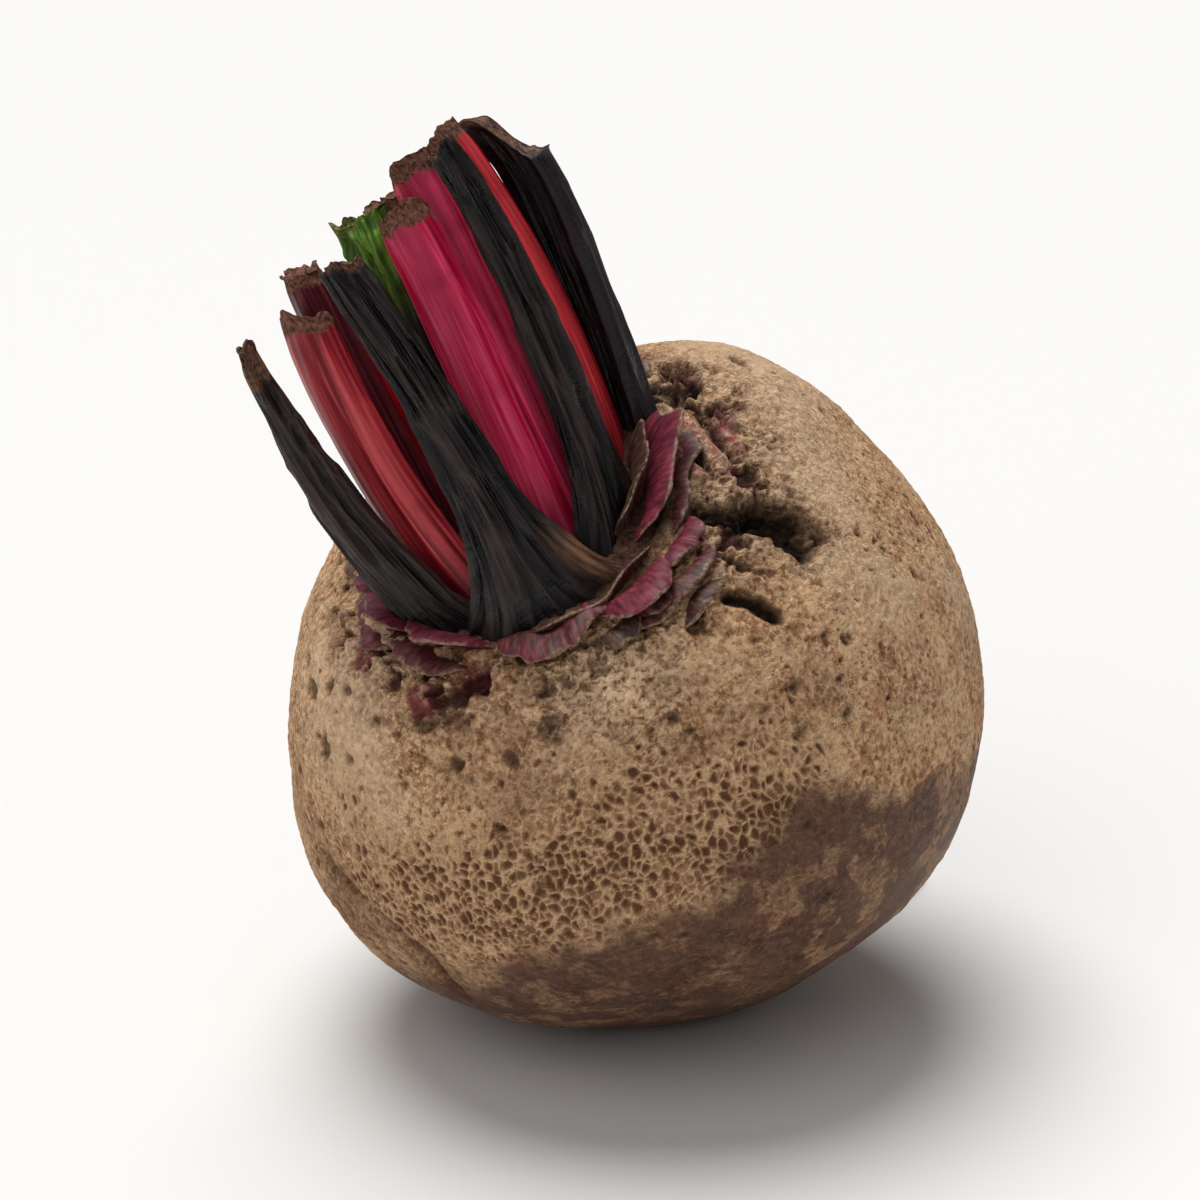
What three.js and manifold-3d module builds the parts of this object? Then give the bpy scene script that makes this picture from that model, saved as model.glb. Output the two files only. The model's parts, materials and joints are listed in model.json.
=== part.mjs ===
// A whole beetroot, lying on its side as lifted and trimmed: one swollen root with its curled tail,
// the cut stalks of its leaves, and the stubs that older leaves left round the crown.
// Millimetres, +Z up. The origin is the middle of the small flat spot that the root rests on.
import * as THREE from "three";
import { mergeVertices } from "three/addons/utils/BufferGeometryUtils.js";
import Module from "manifold-3d";

const wasm = await Module();
wasm.setup();

// ---------------------------------------------------------------- driving dimensions
const GIRTH_RADIUS = 49; // half the root's width at its widest ring
const CENTRE_HEIGHT = 48.2; // the root's centre above the surface it lies on
const CENTRE_OFFSET = new THREE.Vector2(-1.5, -1.8); // from the flat spot to the centre, across and back
const LEAN = 29; // degrees from upright to the crown's direction
const LEAN_HEADING = 226; // degrees in plan, from +X towards +Y, that the crown leans to
const TAIL_SIDESTEP = 9; // how far off the root's axis the tail leaves it, on the upper side
const TAIL_LEAVES_AT = -46; // along the root's axis, where the tail starts to curl
const TAIL_CURL_RADIUS = 16;
const TAIL_CURL = 57; // degrees
const FIT_GAP = 0.3; // left between touching pieces
const FOOT_DEPTH = 2.5; // how far a leaf base is drawn under the skin, before the root is cut away
const ROOT_SEGMENTS = 56;
const PROFILE_STEPS = 36;
const FLAT_CUT = 200; // side of the block that cuts the flat spot
const MERGE_WITHIN = 1e-3;

const degrees = THREE.MathUtils.degToRad;

// ---------------------------------------------------------------- solids
const solidOf = (geometry) => {
  const bare = geometry.clone();
  for (const name of ["normal", "uv"]) bare.deleteAttribute(name);
  const merged = mergeVertices(bare, MERGE_WITHIN);
  return new wasm.Manifold(
    new wasm.Mesh({
      numProp: 3,
      vertProperties: merged.attributes.position.array,
      triVerts: new Uint32Array(merged.index.array),
    }),
  );
};

const geometryOf = (solid) => {
  const { numProp, numVert, vertProperties, triVerts } = solid.getMesh();
  const position = new Float32Array(numVert * 3);
  for (let i = 0; i < numVert; i++) {
    position.set(vertProperties.subarray(i * numProp, i * numProp + 3), i * 3);
  }
  const geometry = new THREE.BufferGeometry();
  geometry.setAttribute("position", new THREE.BufferAttribute(position, 3));
  return geometry.setIndex(new THREE.BufferAttribute(triVerts, 1));
};

const largestOf = (solid) => {
  const bodies = solid.decompose();
  return bodies.reduce((a, b) => (b.volume() > a.volume() ? b : a));
};

// The same closed shape with its skin moved out by a distance.
const grown = (geometry, distance) => {
  const bare = geometry.clone();
  for (const name of ["normal", "uv"]) bare.deleteAttribute(name);
  const merged = mergeVertices(bare, MERGE_WITHIN);
  merged.computeVertexNormals();
  const { position, normal } = merged.attributes;
  const point = new THREE.Vector3();
  const out = new THREE.Vector3();
  for (let i = 0; i < position.count; i++) {
    point.fromBufferAttribute(position, i);
    point.addScaledVector(out.fromBufferAttribute(normal, i), distance);
    position.setXYZ(i, point.x, point.y, point.z);
  }
  return merged;
};

// Moves every vertex of a geometry by a function of its place.
const reshaped = (geometry, move) => {
  const { position } = geometry.attributes;
  const point = new THREE.Vector3();
  for (let i = 0; i < position.count; i++) {
    move(point.fromBufferAttribute(position, i));
    position.setXYZ(i, point.x, point.y, point.z);
  }
  return geometry;
};

// ---------------------------------------------------------------- the root
// Its own frame: origin at the root's centre, +Z out of the crown, +X to the right, +Y to the back.
const HALF_PROFILE = [
  [0, 36],
  [13, 36.5],
  [24, 35],
  [34, 30.5],
  [43, 19.5],
  [48, 6],
  [GIRTH_RADIUS, -7],
  [46.3, -20],
  [39.5, -31.5],
  [30, -40],
  [19, -45.8],
  [10.5, -48],
  [5.6, -50.4],
  [4.2, -55],
  [3.4, -62],
  [2.6, -70],
  [1.4, -76],
  [0, -77],
].map(([radius, height]) => new THREE.Vector2(radius, height));

// Broad swellings and flats. Turn is from +X, rise is from the widest ring towards the crown.
const LOBES = [
  { turn: 48, rise: 40, spread: 38, out: 3.5 }, // high shoulder behind, on the right
  { turn: -163, rise: -8, spread: 24, out: 2 }, // full cheek on the left
  { turn: 178, rise: 22, spread: 18, out: -1 }, // flat above it
  { turn: -98, rise: -38, spread: 26, out: -5 }, // slacker in front, low down
  { turn: -52, rise: -46, spread: 18, out: -1.8 }, // slacker on the right, low down
  { turn: -100, rise: -66, spread: 22, out: 3 }, // the heel that the root rests on
];

// The shallow seams that run down two sides of a beetroot, where its side roots grow: they wander
// from side to side, and are deepest at one level.
const SEAM_LEVEL = -26;
const SEAM_REACH = 16;
const SEAM_WAVE = 12;
const SEAMS = [
  { turn: -128, drift: 10, width: 4, depth: 1.3 },
  { turn: 62, drift: -8, width: 5, depth: 1.0 },
];

const LOBES_GROW_OVER = [7, 18]; // radius below the widest ring, so that the tail stays round

const bell = (x) => Math.exp(-x * x);

const radiusOf = (point) => Math.hypot(point.x, point.y);

const onSphere = (turn, rise) => {
  const level = Math.cos(degrees(rise));
  return new THREE.Vector3(
    level * Math.cos(degrees(turn)),
    level * Math.sin(degrees(turn)),
    Math.sin(degrees(rise)),
  );
};

const wrapped = (angle) => THREE.MathUtils.euclideanModulo(angle + 180, 360) - 180;

// How far the skin stands off the turned profile, in the direction of a point on the root.
const skinOffset = (point) => {
  const direction = point.clone().normalize();
  let offset = 0;
  for (const { turn, rise, spread, out } of LOBES) {
    offset += out * bell(direction.angleTo(onSphere(turn, rise)) / degrees(spread));
  }
  const turn = THREE.MathUtils.radToDeg(Math.atan2(point.y, point.x));
  for (const { turn: at, drift, width, depth } of SEAMS) {
    const away = wrapped(turn - at - drift * Math.sin(point.z / SEAM_WAVE));
    offset -= depth * bell((point.z - SEAM_LEVEL) / SEAM_REACH) * bell(away / width);
  }
  return offset;
};

// The tail leaves the root on its upper side and curls in the plane of the lean, so that it trails
// just above the surface that the root lies on.
const STEP_FADES_OVER = [8, 30]; // radius
const STEP_GROWS_OVER = [-40, -10]; // height
const uphill = new THREE.Vector2(1, 0).rotateAround(new THREE.Vector2(), degrees(LEAN_HEADING + 180));

const curlTail = (point) => {
  const nearAxis = 1 - THREE.MathUtils.smoothstep(radiusOf(point), ...STEP_FADES_OVER);
  const low = 1 - THREE.MathUtils.smoothstep(point.z, ...STEP_GROWS_OVER);
  const step = TAIL_SIDESTEP * nearAxis * low;
  const drop = TAIL_LEAVES_AT - point.z;
  if (drop <= 0) {
    point.x += uphill.x * step;
    point.y += uphill.y * step;
    return;
  }
  const turn = Math.min(drop / TAIL_CURL_RADIUS, degrees(TAIL_CURL));
  const past = drop - turn * TAIL_CURL_RADIUS;
  const outward = point.x * uphill.x + point.y * uphill.y;
  const reach = TAIL_CURL_RADIUS * (1 - Math.cos(turn)) + past * Math.sin(turn);
  const shift = step + outward * (Math.cos(turn) - 1) + reach;
  point.x += uphill.x * shift;
  point.y += uphill.y * shift;
  point.z = TAIL_LEAVES_AT - past * Math.cos(turn) + (outward - TAIL_CURL_RADIUS) * Math.sin(turn);
};

const rootSkin = () => {
  const profile = new THREE.SplineCurve(HALF_PROFILE).getPoints(PROFILE_STEPS);
  profile[0].x = 0;
  profile[profile.length - 1].x = 0;
  const rings = profile.reverse().map((p) => new THREE.Vector2(Math.max(p.x, 0), p.y));
  const lathe = new THREE.LatheGeometry(rings, ROOT_SEGMENTS).rotateX(Math.PI / 2);
  return reshaped(lathe, (point) => {
    if (radiusOf(point) < MERGE_WITHIN) point.set(0, 0, point.z);
    const share = point.z > 0 ? 1 : THREE.MathUtils.smoothstep(radiusOf(point), ...LOBES_GROW_OVER);
    point.addScaledVector(point.clone().normalize(), share * skinOffset(point));
    curlTail(point);
  });
};

const heading = degrees(LEAN_HEADING);
const leanAxis = new THREE.Vector3(-Math.sin(heading), Math.cos(heading), 0);
const pose = new THREE.Matrix4()
  .makeRotationAxis(leanAxis, degrees(LEAN))
  .setPosition(CENTRE_OFFSET.x, CENTRE_OFFSET.y, CENTRE_HEIGHT);

const uprightSkin = rootSkin();
const skin = uprightSkin.clone().applyMatrix4(pose);
const belowSurface = new THREE.BoxGeometry(FLAT_CUT, FLAT_CUT, FLAT_CUT).translate(0, 0, -FLAT_CUT / 2);
const rootSolid = largestOf(solidOf(skin).subtract(solidOf(belowSurface)));

// ---------------------------------------------------------------- leaf bases
// Stalks, scales and young leaves are all leaf bases: a cylinder bent along a line and given the
// section of a leaf base, wide where it clasps the crown. Lengths in mm, in the root's own frame.
//   foot      where it leaves the crown: right, back
//   reach     from the foot to the tip: right, back, up
//   bow       how far its middle stands off the straight line: right, back, up
//   outward   turn from +X that its rounded back faces
//   width     at mid length, with footWidth and tipWidth at its ends
//   thick     from its rounded back to its inner face
//   clasp     radius that its foot wraps round
//   channel   depth of the groove down its inner face
const LEAF_BASES = {
  dried_stalk_front: {
    foot: [3.7, -20.8], reach: [-8.5, 22, 46.5], bow: [1.4, -0.3, 0], outward: -82,
    width: 7.4, footWidth: 33, tipWidth: 5.8, thick: 4, clasp: 17, channel: 1,
  },
  dried_stalk_left: {
    foot: [-11, -16.5], reach: [-9.6, 16, 38.6], bow: [-2.2, -1.2, 0], outward: -112,
    width: 8.6, footWidth: 13, tipWidth: 3.2, thick: 4, clasp: 15, channel: 0.8,
  },
  dried_stalk_right: {
    foot: [13.6, -9.5], reach: [-3.4, 25, 48.2], bow: [2, 0.3, 0], outward: -30,
    width: 6.6, footWidth: 16, tipWidth: 4.6, thick: 4, clasp: 14, channel: 0.8,
  },
  dried_stalk_far_right: {
    foot: [15.6, 6.4], reach: [-1.2, 22.2, 42], bow: [1.6, 1.1, 0], outward: 70,
    width: 9, footWidth: 10, tipWidth: 8, thick: 3.2, clasp: 14, channel: 1,
  },
  red_stalk_left: {
    foot: [-7.5, -11.5], reach: [-6.4, 17.1, 36.2], bow: [-1.6, -0.8, 0], outward: -130,
    width: 10, footWidth: 12, tipWidth: 9, thick: 7.5, clasp: 14, channel: 1.4,
  },
  red_stalk_front: {
    foot: [5.5, -8.5], reach: [-3.5, 21.8, 41.7], bow: [0.6, 0.2, 0], outward: -78,
    width: 9.2, footWidth: 11, tipWidth: 7.6, thick: 7.5, clasp: 12, channel: 1.4,
  },
  red_stalk_right: {
    foot: [13, 4], reach: [-5.4, 21.4, 42.5], bow: [2, 0.8, 0], outward: 0,
    width: 8.5, footWidth: 10, tipWidth: 7.5, thick: 6, clasp: 12, channel: 1.2,
  },
  red_stalk_middle: {
    foot: [6.5, 1], reach: [-3.2, 22.3, 42], bow: [0.6, 0.3, 0], outward: -60,
    width: 8.5, footWidth: 9.5, tipWidth: 8, thick: 6.5, clasp: 12, channel: 1.2,
  },
  maroon_stalk_left: {
    foot: [-10.5, -3.5], reach: [-4.1, 17.6, 37.9], bow: [-0.3, 0, 0], outward: 178,
    width: 8.5, footWidth: 10, tipWidth: 8, thick: 6.5, clasp: 12, channel: 1.2,
  },
  young_leaf_front: {
    foot: [-1.5, -6.5], reach: [-4, 23, 41], bow: [0.2, 0, 0], outward: -100,
    width: 4.6, footWidth: 4, tipWidth: 7.5, thick: 2.4, clasp: 10, channel: 0.3,
  },
  young_leaf_back: {
    foot: [-1.5, -1], reach: [-3.6, 20.5, 39], bow: [-0.2, 0, 0], outward: -80,
    width: 4.2, footWidth: 4, tipWidth: 7, thick: 2.2, clasp: 10, channel: 0.3,
  },
  young_stalk: {
    foot: [1.5, 2.5], reach: [-2.6, 20, 38.5], bow: [0, 0, 0], outward: -60,
    width: 4.4, footWidth: 5, tipWidth: 4, thick: 3.6, clasp: 12, channel: 0.5,
  },
  red_stalk_back_left: {
    foot: [-9.5, 6], reach: [-4, 16.5, 29.5], bow: [-1, 0.6, 0], outward: 150,
    width: 9, footWidth: 11, tipWidth: 8, thick: 7, clasp: 13, channel: 1.3,
  },
  red_stalk_back: {
    foot: [-1, 10.5], reach: [-3.5, 19, 33], bow: [0, 1, 0], outward: 100,
    width: 9.5, footWidth: 11, tipWidth: 8.5, thick: 7, clasp: 13, channel: 1.3,
  },
  red_stalk_back_right: {
    foot: [9, 11.5], reach: [-2.6, 19, 36], bow: [1.2, 1, 0], outward: 55,
    width: 8.5, footWidth: 10, tipWidth: 7.5, thick: 6.5, clasp: 13, channel: 1.2,
  },
  dried_stalk_back: {
    foot: [-5, 18.5], reach: [-4.5, 18, 27], bow: [-0.6, 1.6, -0.5], outward: 112,
    width: 7, footWidth: 20, tipWidth: 5, thick: 3.4, clasp: 18, channel: 0.8,
  },
  scale_right: {
    foot: [20, -3.5], reach: [2.4, 0.4, 5], outward: -2,
    width: 18, footWidth: 20, tipWidth: 7, thick: 4.2, clasp: 17,
  },
  scale_front_right: {
    foot: [15, -19.5], reach: [2.6, -3, 3.4], outward: -52,
    width: 20, footWidth: 22, tipWidth: 9, thick: 2.6, clasp: 21,
  },
  scale_front: {
    foot: [6.5, -26.5], reach: [0.5, -2.6, 2], outward: -82,
    width: 13, footWidth: 15, tipWidth: 7, thick: 3, clasp: 25,
  },
  scale_low_right: {
    foot: [24.5, -19.5], reach: [2.2, -1.8, 1.6], outward: -40,
    width: 9, footWidth: 11, tipWidth: 4, thick: 2.6, clasp: 28,
  },
  scale_left_high: {
    foot: [-21, 1.5], reach: [-2.6, 0.4, 2.6], outward: 172,
    width: 12, footWidth: 14, tipWidth: 6, thick: 2.6, clasp: 22,
  },
  scale_left: {
    foot: [-20, -9], reach: [-2.4, -1.2, 2.4], outward: -155,
    width: 11, footWidth: 13, tipWidth: 5, thick: 2.6, clasp: 24,
  },
  scale_left_low: {
    foot: [-11.5, -21.5], reach: [-1.2, -2, 2], outward: -122,
    width: 12, footWidth: 14, tipWidth: 6, thick: 2.6, clasp: 24,
  },
  scale_back_right: {
    foot: [14, 17.5], reach: [1.8, 2.4, 3.2], outward: 52,
    width: 15, footWidth: 18, tipWidth: 7, thick: 2.8, clasp: 22,
  },
  scale_back_left: {
    foot: [-17, 14], reach: [-2, 1.8, 3], outward: 138,
    width: 14, footWidth: 17, tipWidth: 6, thick: 2.8, clasp: 22,
  },
};

const STALK_FACETS = { around: 12, along: 11 };
const SCALE_FACETS = { around: 16, along: 3 };
const SCALE_HEIGHT = 8; // leaf bases shorter than this are scales
const FLARE_LENGTH = 0.13; // share of the length over which a foot narrows
const CLASP_LENGTH = 0.3; // share of the length over which a clasping foot opens out
const TAPER_FROM = 0.35; // share of the length where the width starts to run to the tip's
const SOUNDING_HEIGHT = 90;

const onCrown = (right, back) => {
  const from = new THREE.Vector3(right, back, SOUNDING_HEIGHT);
  const sounding = new THREE.Raycaster(from, new THREE.Vector3(0, 0, -1));
  return sounding.intersectObject(new THREE.Mesh(uprightSkin))[0].point;
};

const leafBase = ({ foot, reach, bow = [0, 0, 0], outward, clasp, thick, channel = 0, ...widths }) => {
  const start = onCrown(...foot);
  const tip = start.clone().add(new THREE.Vector3(...reach));
  const middle = start.clone().lerp(tip, 0.5).addScaledVector(new THREE.Vector3(...bow), 2);
  const slope = tip.clone().sub(start).normalize();
  const line = new THREE.QuadraticBezierCurve3(start.addScaledVector(slope, -FOOT_DEPTH), middle, tip);
  const faces = new THREE.Vector3(Math.cos(degrees(outward)), Math.sin(degrees(outward)), 0);
  const { around, along } = reach[2] > SCALE_HEIGHT ? STALK_FACETS : SCALE_FACETS;
  const blank = new THREE.CylinderGeometry(1, 1, 1, around, along).translate(0, 0.5, 0).rotateX(Math.PI / 2);
  const bent = reshaped(blank, (point) => {
    const way = point.z;
    const upwards = line.getTangent(way);
    const back = faces.clone().addScaledVector(upwards, -faces.dot(upwards)).normalize();
    const side = back.clone().cross(upwards);
    const taper = THREE.MathUtils.smoothstep(way, TAPER_FROM, 1);
    const flare = (widths.footWidth - widths.width) * Math.exp(-way / FLARE_LENGTH);
    const across = (point.x * (THREE.MathUtils.lerp(widths.width, widths.tipWidth, taper) + flare)) / 2;
    const groove = point.y < 0 ? channel * (1 - point.x * point.x) : 0;
    const off = (point.y * thick) / 2 + groove;
    const radius = clasp * Math.exp(way / CLASP_LENGTH);
    point.copy(line.getPoint(way));
    point.addScaledVector(side, (radius + off) * Math.sin(across / radius));
    point.addScaledVector(back, (radius + off) * Math.cos(across / radius) - radius);
  });
  return bent.applyMatrix4(pose);
};

// Each leaf base is fitted to the root and to the ones already placed, with a gap between them.
const leafSolids = {};
let taken = solidOf(grown(skin, FIT_GAP));
for (const [name, shape] of Object.entries(LEAF_BASES)) {
  const geometry = leafBase(shape);
  leafSolids[name] = largestOf(solidOf(geometry).subtract(taken));
  taken = taken.add(solidOf(grown(geometry, FIT_GAP)));
}

// ---------------------------------------------------------------- the whole plant
const FINISHES = {
  skin: { color: 0xa98a63, roughness: 0.85 },
  fresh: { color: 0xb01c3c, roughness: 0.42 },
  maroon: { color: 0x6d1a2c, roughness: 0.5 },
  dried: { color: 0x241a1c, roughness: 0.5 },
  young: { color: 0x3f5f1c, roughness: 0.5 },
  scale: { color: 0x7c2a38, roughness: 0.6 },
};

const finishOf = (name) => {
  if (name.startsWith("dried")) return FINISHES.dried;
  if (name.startsWith("scale")) return FINISHES.scale;
  if (name.startsWith("maroon") || name === "young_stalk") return FINISHES.maroon;
  if (name.startsWith("young")) return FINISHES.young;
  return FINISHES.fresh;
};

const mesh = (name, solid, finish) => {
  const material = new THREE.MeshStandardMaterial({ ...finish, metalness: 0 });
  const piece = new THREE.Mesh(geometryOf(solid), material);
  piece.name = name;
  return piece;
};

const beetroot = new THREE.Group();
beetroot.add(mesh("root", rootSolid, FINISHES.skin));
for (const [name, solid] of Object.entries(leafSolids)) beetroot.add(mesh(name, solid, finishOf(name)));

export default beetroot;
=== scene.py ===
# %% [markdown]
# # A beetroot
# The root, its cut stalks and its old leaf scales arrive as plain CAD solids. Each cell below makes one
# of them look grown: first the fine surface, as real geometry, then the finish, as shader nodes.
# The frame is fixed: nothing here moves or resizes the CAD, it is only dressed.

# %% Load the frame
import json
import math

import bpy
import numpy as np
from mathutils import Euler, Matrix, Vector
from mathutils.bvhtree import BVHTree

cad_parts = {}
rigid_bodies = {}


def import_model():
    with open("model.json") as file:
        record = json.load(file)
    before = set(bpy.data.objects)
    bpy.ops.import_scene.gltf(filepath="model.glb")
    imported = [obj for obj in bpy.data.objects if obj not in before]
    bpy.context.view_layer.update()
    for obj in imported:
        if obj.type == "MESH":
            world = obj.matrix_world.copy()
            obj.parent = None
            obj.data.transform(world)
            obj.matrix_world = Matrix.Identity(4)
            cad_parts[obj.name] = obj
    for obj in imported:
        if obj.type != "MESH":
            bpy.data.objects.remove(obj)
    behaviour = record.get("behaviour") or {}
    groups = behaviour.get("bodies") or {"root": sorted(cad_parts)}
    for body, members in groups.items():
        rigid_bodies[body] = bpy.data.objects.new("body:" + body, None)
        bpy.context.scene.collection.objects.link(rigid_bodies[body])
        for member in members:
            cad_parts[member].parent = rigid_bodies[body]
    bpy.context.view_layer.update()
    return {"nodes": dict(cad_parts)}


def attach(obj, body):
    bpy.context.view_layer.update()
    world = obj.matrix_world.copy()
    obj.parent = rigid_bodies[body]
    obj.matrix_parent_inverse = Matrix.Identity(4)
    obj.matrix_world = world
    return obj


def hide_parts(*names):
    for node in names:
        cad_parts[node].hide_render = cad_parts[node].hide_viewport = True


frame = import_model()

MM = 0.001

# %% [markdown]
# ## The camera
# A long lens from a little above, as food is often shown: the plant is seen from the front, with its
# crown leaning towards the viewer. The camera stands well back, so that the root doesn't bulge. It first
# looks along Y, 20 degrees down, and is then swung the shortest way to the plant, so nothing tips over.

# %% Camera
CAMERA_PLACE = Vector((53.6, -566.6, 285.3)) * MM
CAMERA_AIM = Vector((-4.5, 0, 61)) * MM
LENS_MM = 132
LOOK_DOWN = 20

camera_data = bpy.data.cameras.new("camera")
camera_data.lens = LENS_MM
camera_data.clip_start = 0.01
camera = bpy.data.objects.new("camera", camera_data)
camera.location = CAMERA_PLACE
level = Euler((math.radians(90 - LOOK_DOWN), 0, 0)).to_quaternion()
swing = (level @ Vector((0, 0, -1))).rotation_difference(CAMERA_AIM - CAMERA_PLACE)
camera.rotation_euler = (swing @ level).to_euler()
bpy.context.collection.objects.link(camera)
bpy.context.scene.camera = camera

# %% [markdown]
# ## The plant's own frame
# It is easier to think about a beetroot standing upright: the origin in the middle of the root, Z out of
# the crown. The root lies tilted, so every shape is made upright, in millimetres, and tilted at the end.

# %% Upright frame
LEAN = math.radians(29)
LEAN_HEADING = math.radians(226)
ROOT_CENTRE = Vector((-1.5, -1.8, 48.2))
LEAN_AXIS = Vector((-math.sin(LEAN_HEADING), math.cos(LEAN_HEADING), 0))
TILT = np.array(Matrix.Rotation(LEAN, 3, LEAN_AXIS))
CROWN_CENTRE = np.array((3.0, -3.0))


def tilted(points_mm):
    """Upright millimetres to metres in the shared frame."""
    return (points_mm @ TILT.T + np.array(ROOT_CENTRE)) * MM


def upright(points):
    """Metres in the shared frame to upright millimetres."""
    return (points / MM - np.array(ROOT_CENTRE)) @ TILT


# %% [markdown]
# ## Chance that repeats
# Nothing that grew is regular. Every random choice here is a number worked out from a place and a seed,
# so the script makes the same beetroot each time. `swell` is smooth noise with swellings of a given
# size, and `tiles` splits space into irregular cells, like the cracks of bark.

# %% Noise
def dice(cells, seed):
    """A repeatable number from 0 to 1 for each whole-numbered cell."""
    x, y, z = (cells[:, k].astype(np.int64).astype(np.uint64) for k in range(3))
    mixed = x * np.uint64(0x9E3779B97F4A7C15) ^ y * np.uint64(0xC2B2AE3D27D4EB4F)
    mixed ^= z * np.uint64(0x165667B19E3779F9) ^ np.uint64(seed * 0x27D4EB2F)
    mixed ^= mixed >> np.uint64(33)
    mixed *= np.uint64(0xFF51AFD7ED558CCD)
    mixed ^= mixed >> np.uint64(33)
    return (mixed >> np.uint64(40)).astype(float) / 2**24


def swell(points, size, seed, octaves=1):
    """Smooth noise from -1 to 1. Each octave is half the size and half the height of the last."""
    total = np.zeros(len(points))
    for octave in range(octaves):
        place = points * 2**octave / size + 17.3 * octave
        corner = np.floor(place)
        part = place - corner
        fade = part**3 * (part * (part * 6 - 15) + 10)
        for step in np.ndindex(2, 2, 2):
            weight = np.prod(np.where(step, fade, 1 - fade), axis=1)
            total += weight * (2 * dice(corner + step, seed + octave) - 1) / 2**octave
    return total / (2 - 2.0 ** (1 - octaves))


def tiles(points, size, seed):
    """Distance to the nearest and second nearest cell middle, in cell sizes, and the cell's own number."""
    place = points / size
    corner = np.floor(place)
    nearest = np.full(len(points), 9.0)
    second = np.full(len(points), 9.0)
    owner = np.zeros(len(points))
    for step in np.ndindex(3, 3, 3):
        home = corner + step - 1
        middle = home + np.stack([dice(home, seed + k) for k in range(3)], axis=1)
        distance = np.linalg.norm(place - middle, axis=1)
        closer = distance < nearest
        second = np.where(closer, nearest, np.minimum(second, distance))
        owner = np.where(closer, dice(home, seed + 3), owner)
        nearest = np.where(closer, distance, nearest)
    return nearest, second, owner


def ease(x, low, high):
    """0 below low, 1 above high, smooth between; with low above high it falls instead."""
    share = np.clip((x - low) / (high - low), 0, 1)
    return share * share * (3 - 2 * share)


def bell(x):
    """1 at 0, falling smoothly to 0 on both sides."""
    return np.exp(-x * x)


# %% [markdown]
# ## The root's smooth body
# The CAD root has flat facets a few millimetres wide. A Catmull-Clark subdivision rounds them, a voxel
# remesh turns the skin into even quads, and two more subdivisions bring the quads down to about a third
# of a millimetre, fine enough to carve pits and netting as true geometry.

# %% Root body
VOXEL = 1.25 * MM
FINE_LEVELS = 2


def new_piece(name, vertices, faces):
    """A mesh object from points in metres and faces, shaded smooth."""
    mesh = bpy.data.meshes.new(name)
    mesh.from_pydata([tuple(v) for v in vertices], [], faces)
    mesh.validate()
    mesh.shade_smooth()
    piece = bpy.data.objects.new(name, mesh)
    bpy.context.collection.objects.link(piece)
    return piece


def evaluated(piece):
    """The piece's mesh with all its modifiers applied."""
    graph = bpy.context.evaluated_depsgraph_get()
    return bpy.data.meshes.new_from_object(piece.evaluated_get(graph))


def points_of(mesh):
    """The mesh's points, one row each."""
    points = np.empty(len(mesh.vertices) * 3)
    mesh.vertices.foreach_get("co", points)
    return points.reshape(-1, 3)


cad_root = frame["nodes"]["root"]
body = bpy.data.objects.new("root_body", cad_root.data.copy())
bpy.context.collection.objects.link(body)
weld = body.modifiers.new("weld", "WELD")
weld.merge_threshold = 0.01 * MM
rounding = body.modifiers.new("rounding", "SUBSURF")
rounding.levels = 2
even = body.modifiers.new("even", "REMESH")
even.mode = "VOXEL"
even.voxel_size = VOXEL
relax = body.modifiers.new("relax", "SMOOTH")
relax.factor = 0.5
relax.iterations = 6
fine = body.modifiers.new("fine", "SUBSURF")
fine.levels = FINE_LEVELS
body_mesh = evaluated(body)
body.modifiers.clear()
body.data = body_mesh
body_mesh.materials.clear()
skin_points = points_of(body_mesh)
normals = np.empty(len(skin_points) * 3)
body_mesh.vertex_normals.foreach_get("vector", normals)
normals = normals.reshape(-1, 3)
print("root body:", len(skin_points), "points,", len(body_mesh.polygons), "faces")

# %% [markdown]
# ## Where things are on the root
# Each mark on the skin needs an address. `around` is the turn from +X, `rise` the angle from the widest
# ring up to the crown, and `from_crown` the distance from the middle of the crown, in millimetres.

# %% Addresses on the skin
UNDERSIDE_MM = 60  # how far from the crown the lower half counts as
TAIL_FROM, TAIL_FULL = 50.5, 54  # reach in millimetres where the root turns into its tail
place = upright(skin_points)
reach = np.linalg.norm(place, axis=1)
around = np.degrees(np.arctan2(place[:, 1], place[:, 0]))
rise = np.degrees(np.arcsin(place[:, 2] / reach))
from_crown = np.hypot(place[:, 0] - CROWN_CENTRE[0], place[:, 1] - CROWN_CENTRE[1])
from_crown = np.where(place[:, 2] > 0, from_crown, UNDERSIDE_MM)
on_tail = ease(reach, TAIL_FROM, TAIL_FULL) * ease(rise, 0, -20)
off_tail = 1 - on_tail
print("the tail takes", int((on_tail > 0.5).sum()), "points")


def turn_gap(target):
    """Degrees from a heading, the short way round."""
    return (around - target + 180) % 360 - 180


def patch(turn, level, wide, tall):
    """A soft oval patch of skin, in degrees."""
    return bell(turn_gap(turn) / wide) * bell((rise - level) / tall)


def gap_to_line(corners, wander=0.0, seed=0):
    """Distance in millimetres to a line through upright points; wander makes its edge ragged."""
    spots = place + wander * np.stack([swell(place, 4, seed + k, 3) for k in range(3)], axis=1)
    nearest = np.full(len(place), 1e3)
    for start, end in zip(corners[:-1], corners[1:]):
        start, step = np.array(start), np.array(end) - np.array(start)
        share = np.clip((spots - start) @ step / (step @ step), 0, 1)
        nearest = np.minimum(nearest, np.linalg.norm(spots - start - share[:, None] * step, axis=1))
    return nearest


# %% [markdown]
# ## Carving the skin
# A beetroot's skin is cork that cracked as the root swelled. The cells below go from large to small:
# swellings, scars round the crown, a creased seam, dark pores, a raised net and a fine corky grain.
# Each is a height in millimetres added along the skin's normal, and each leaves a mask that the
# material reads later, so colour and relief always agree. The first layer is the broad unevenness.

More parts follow.
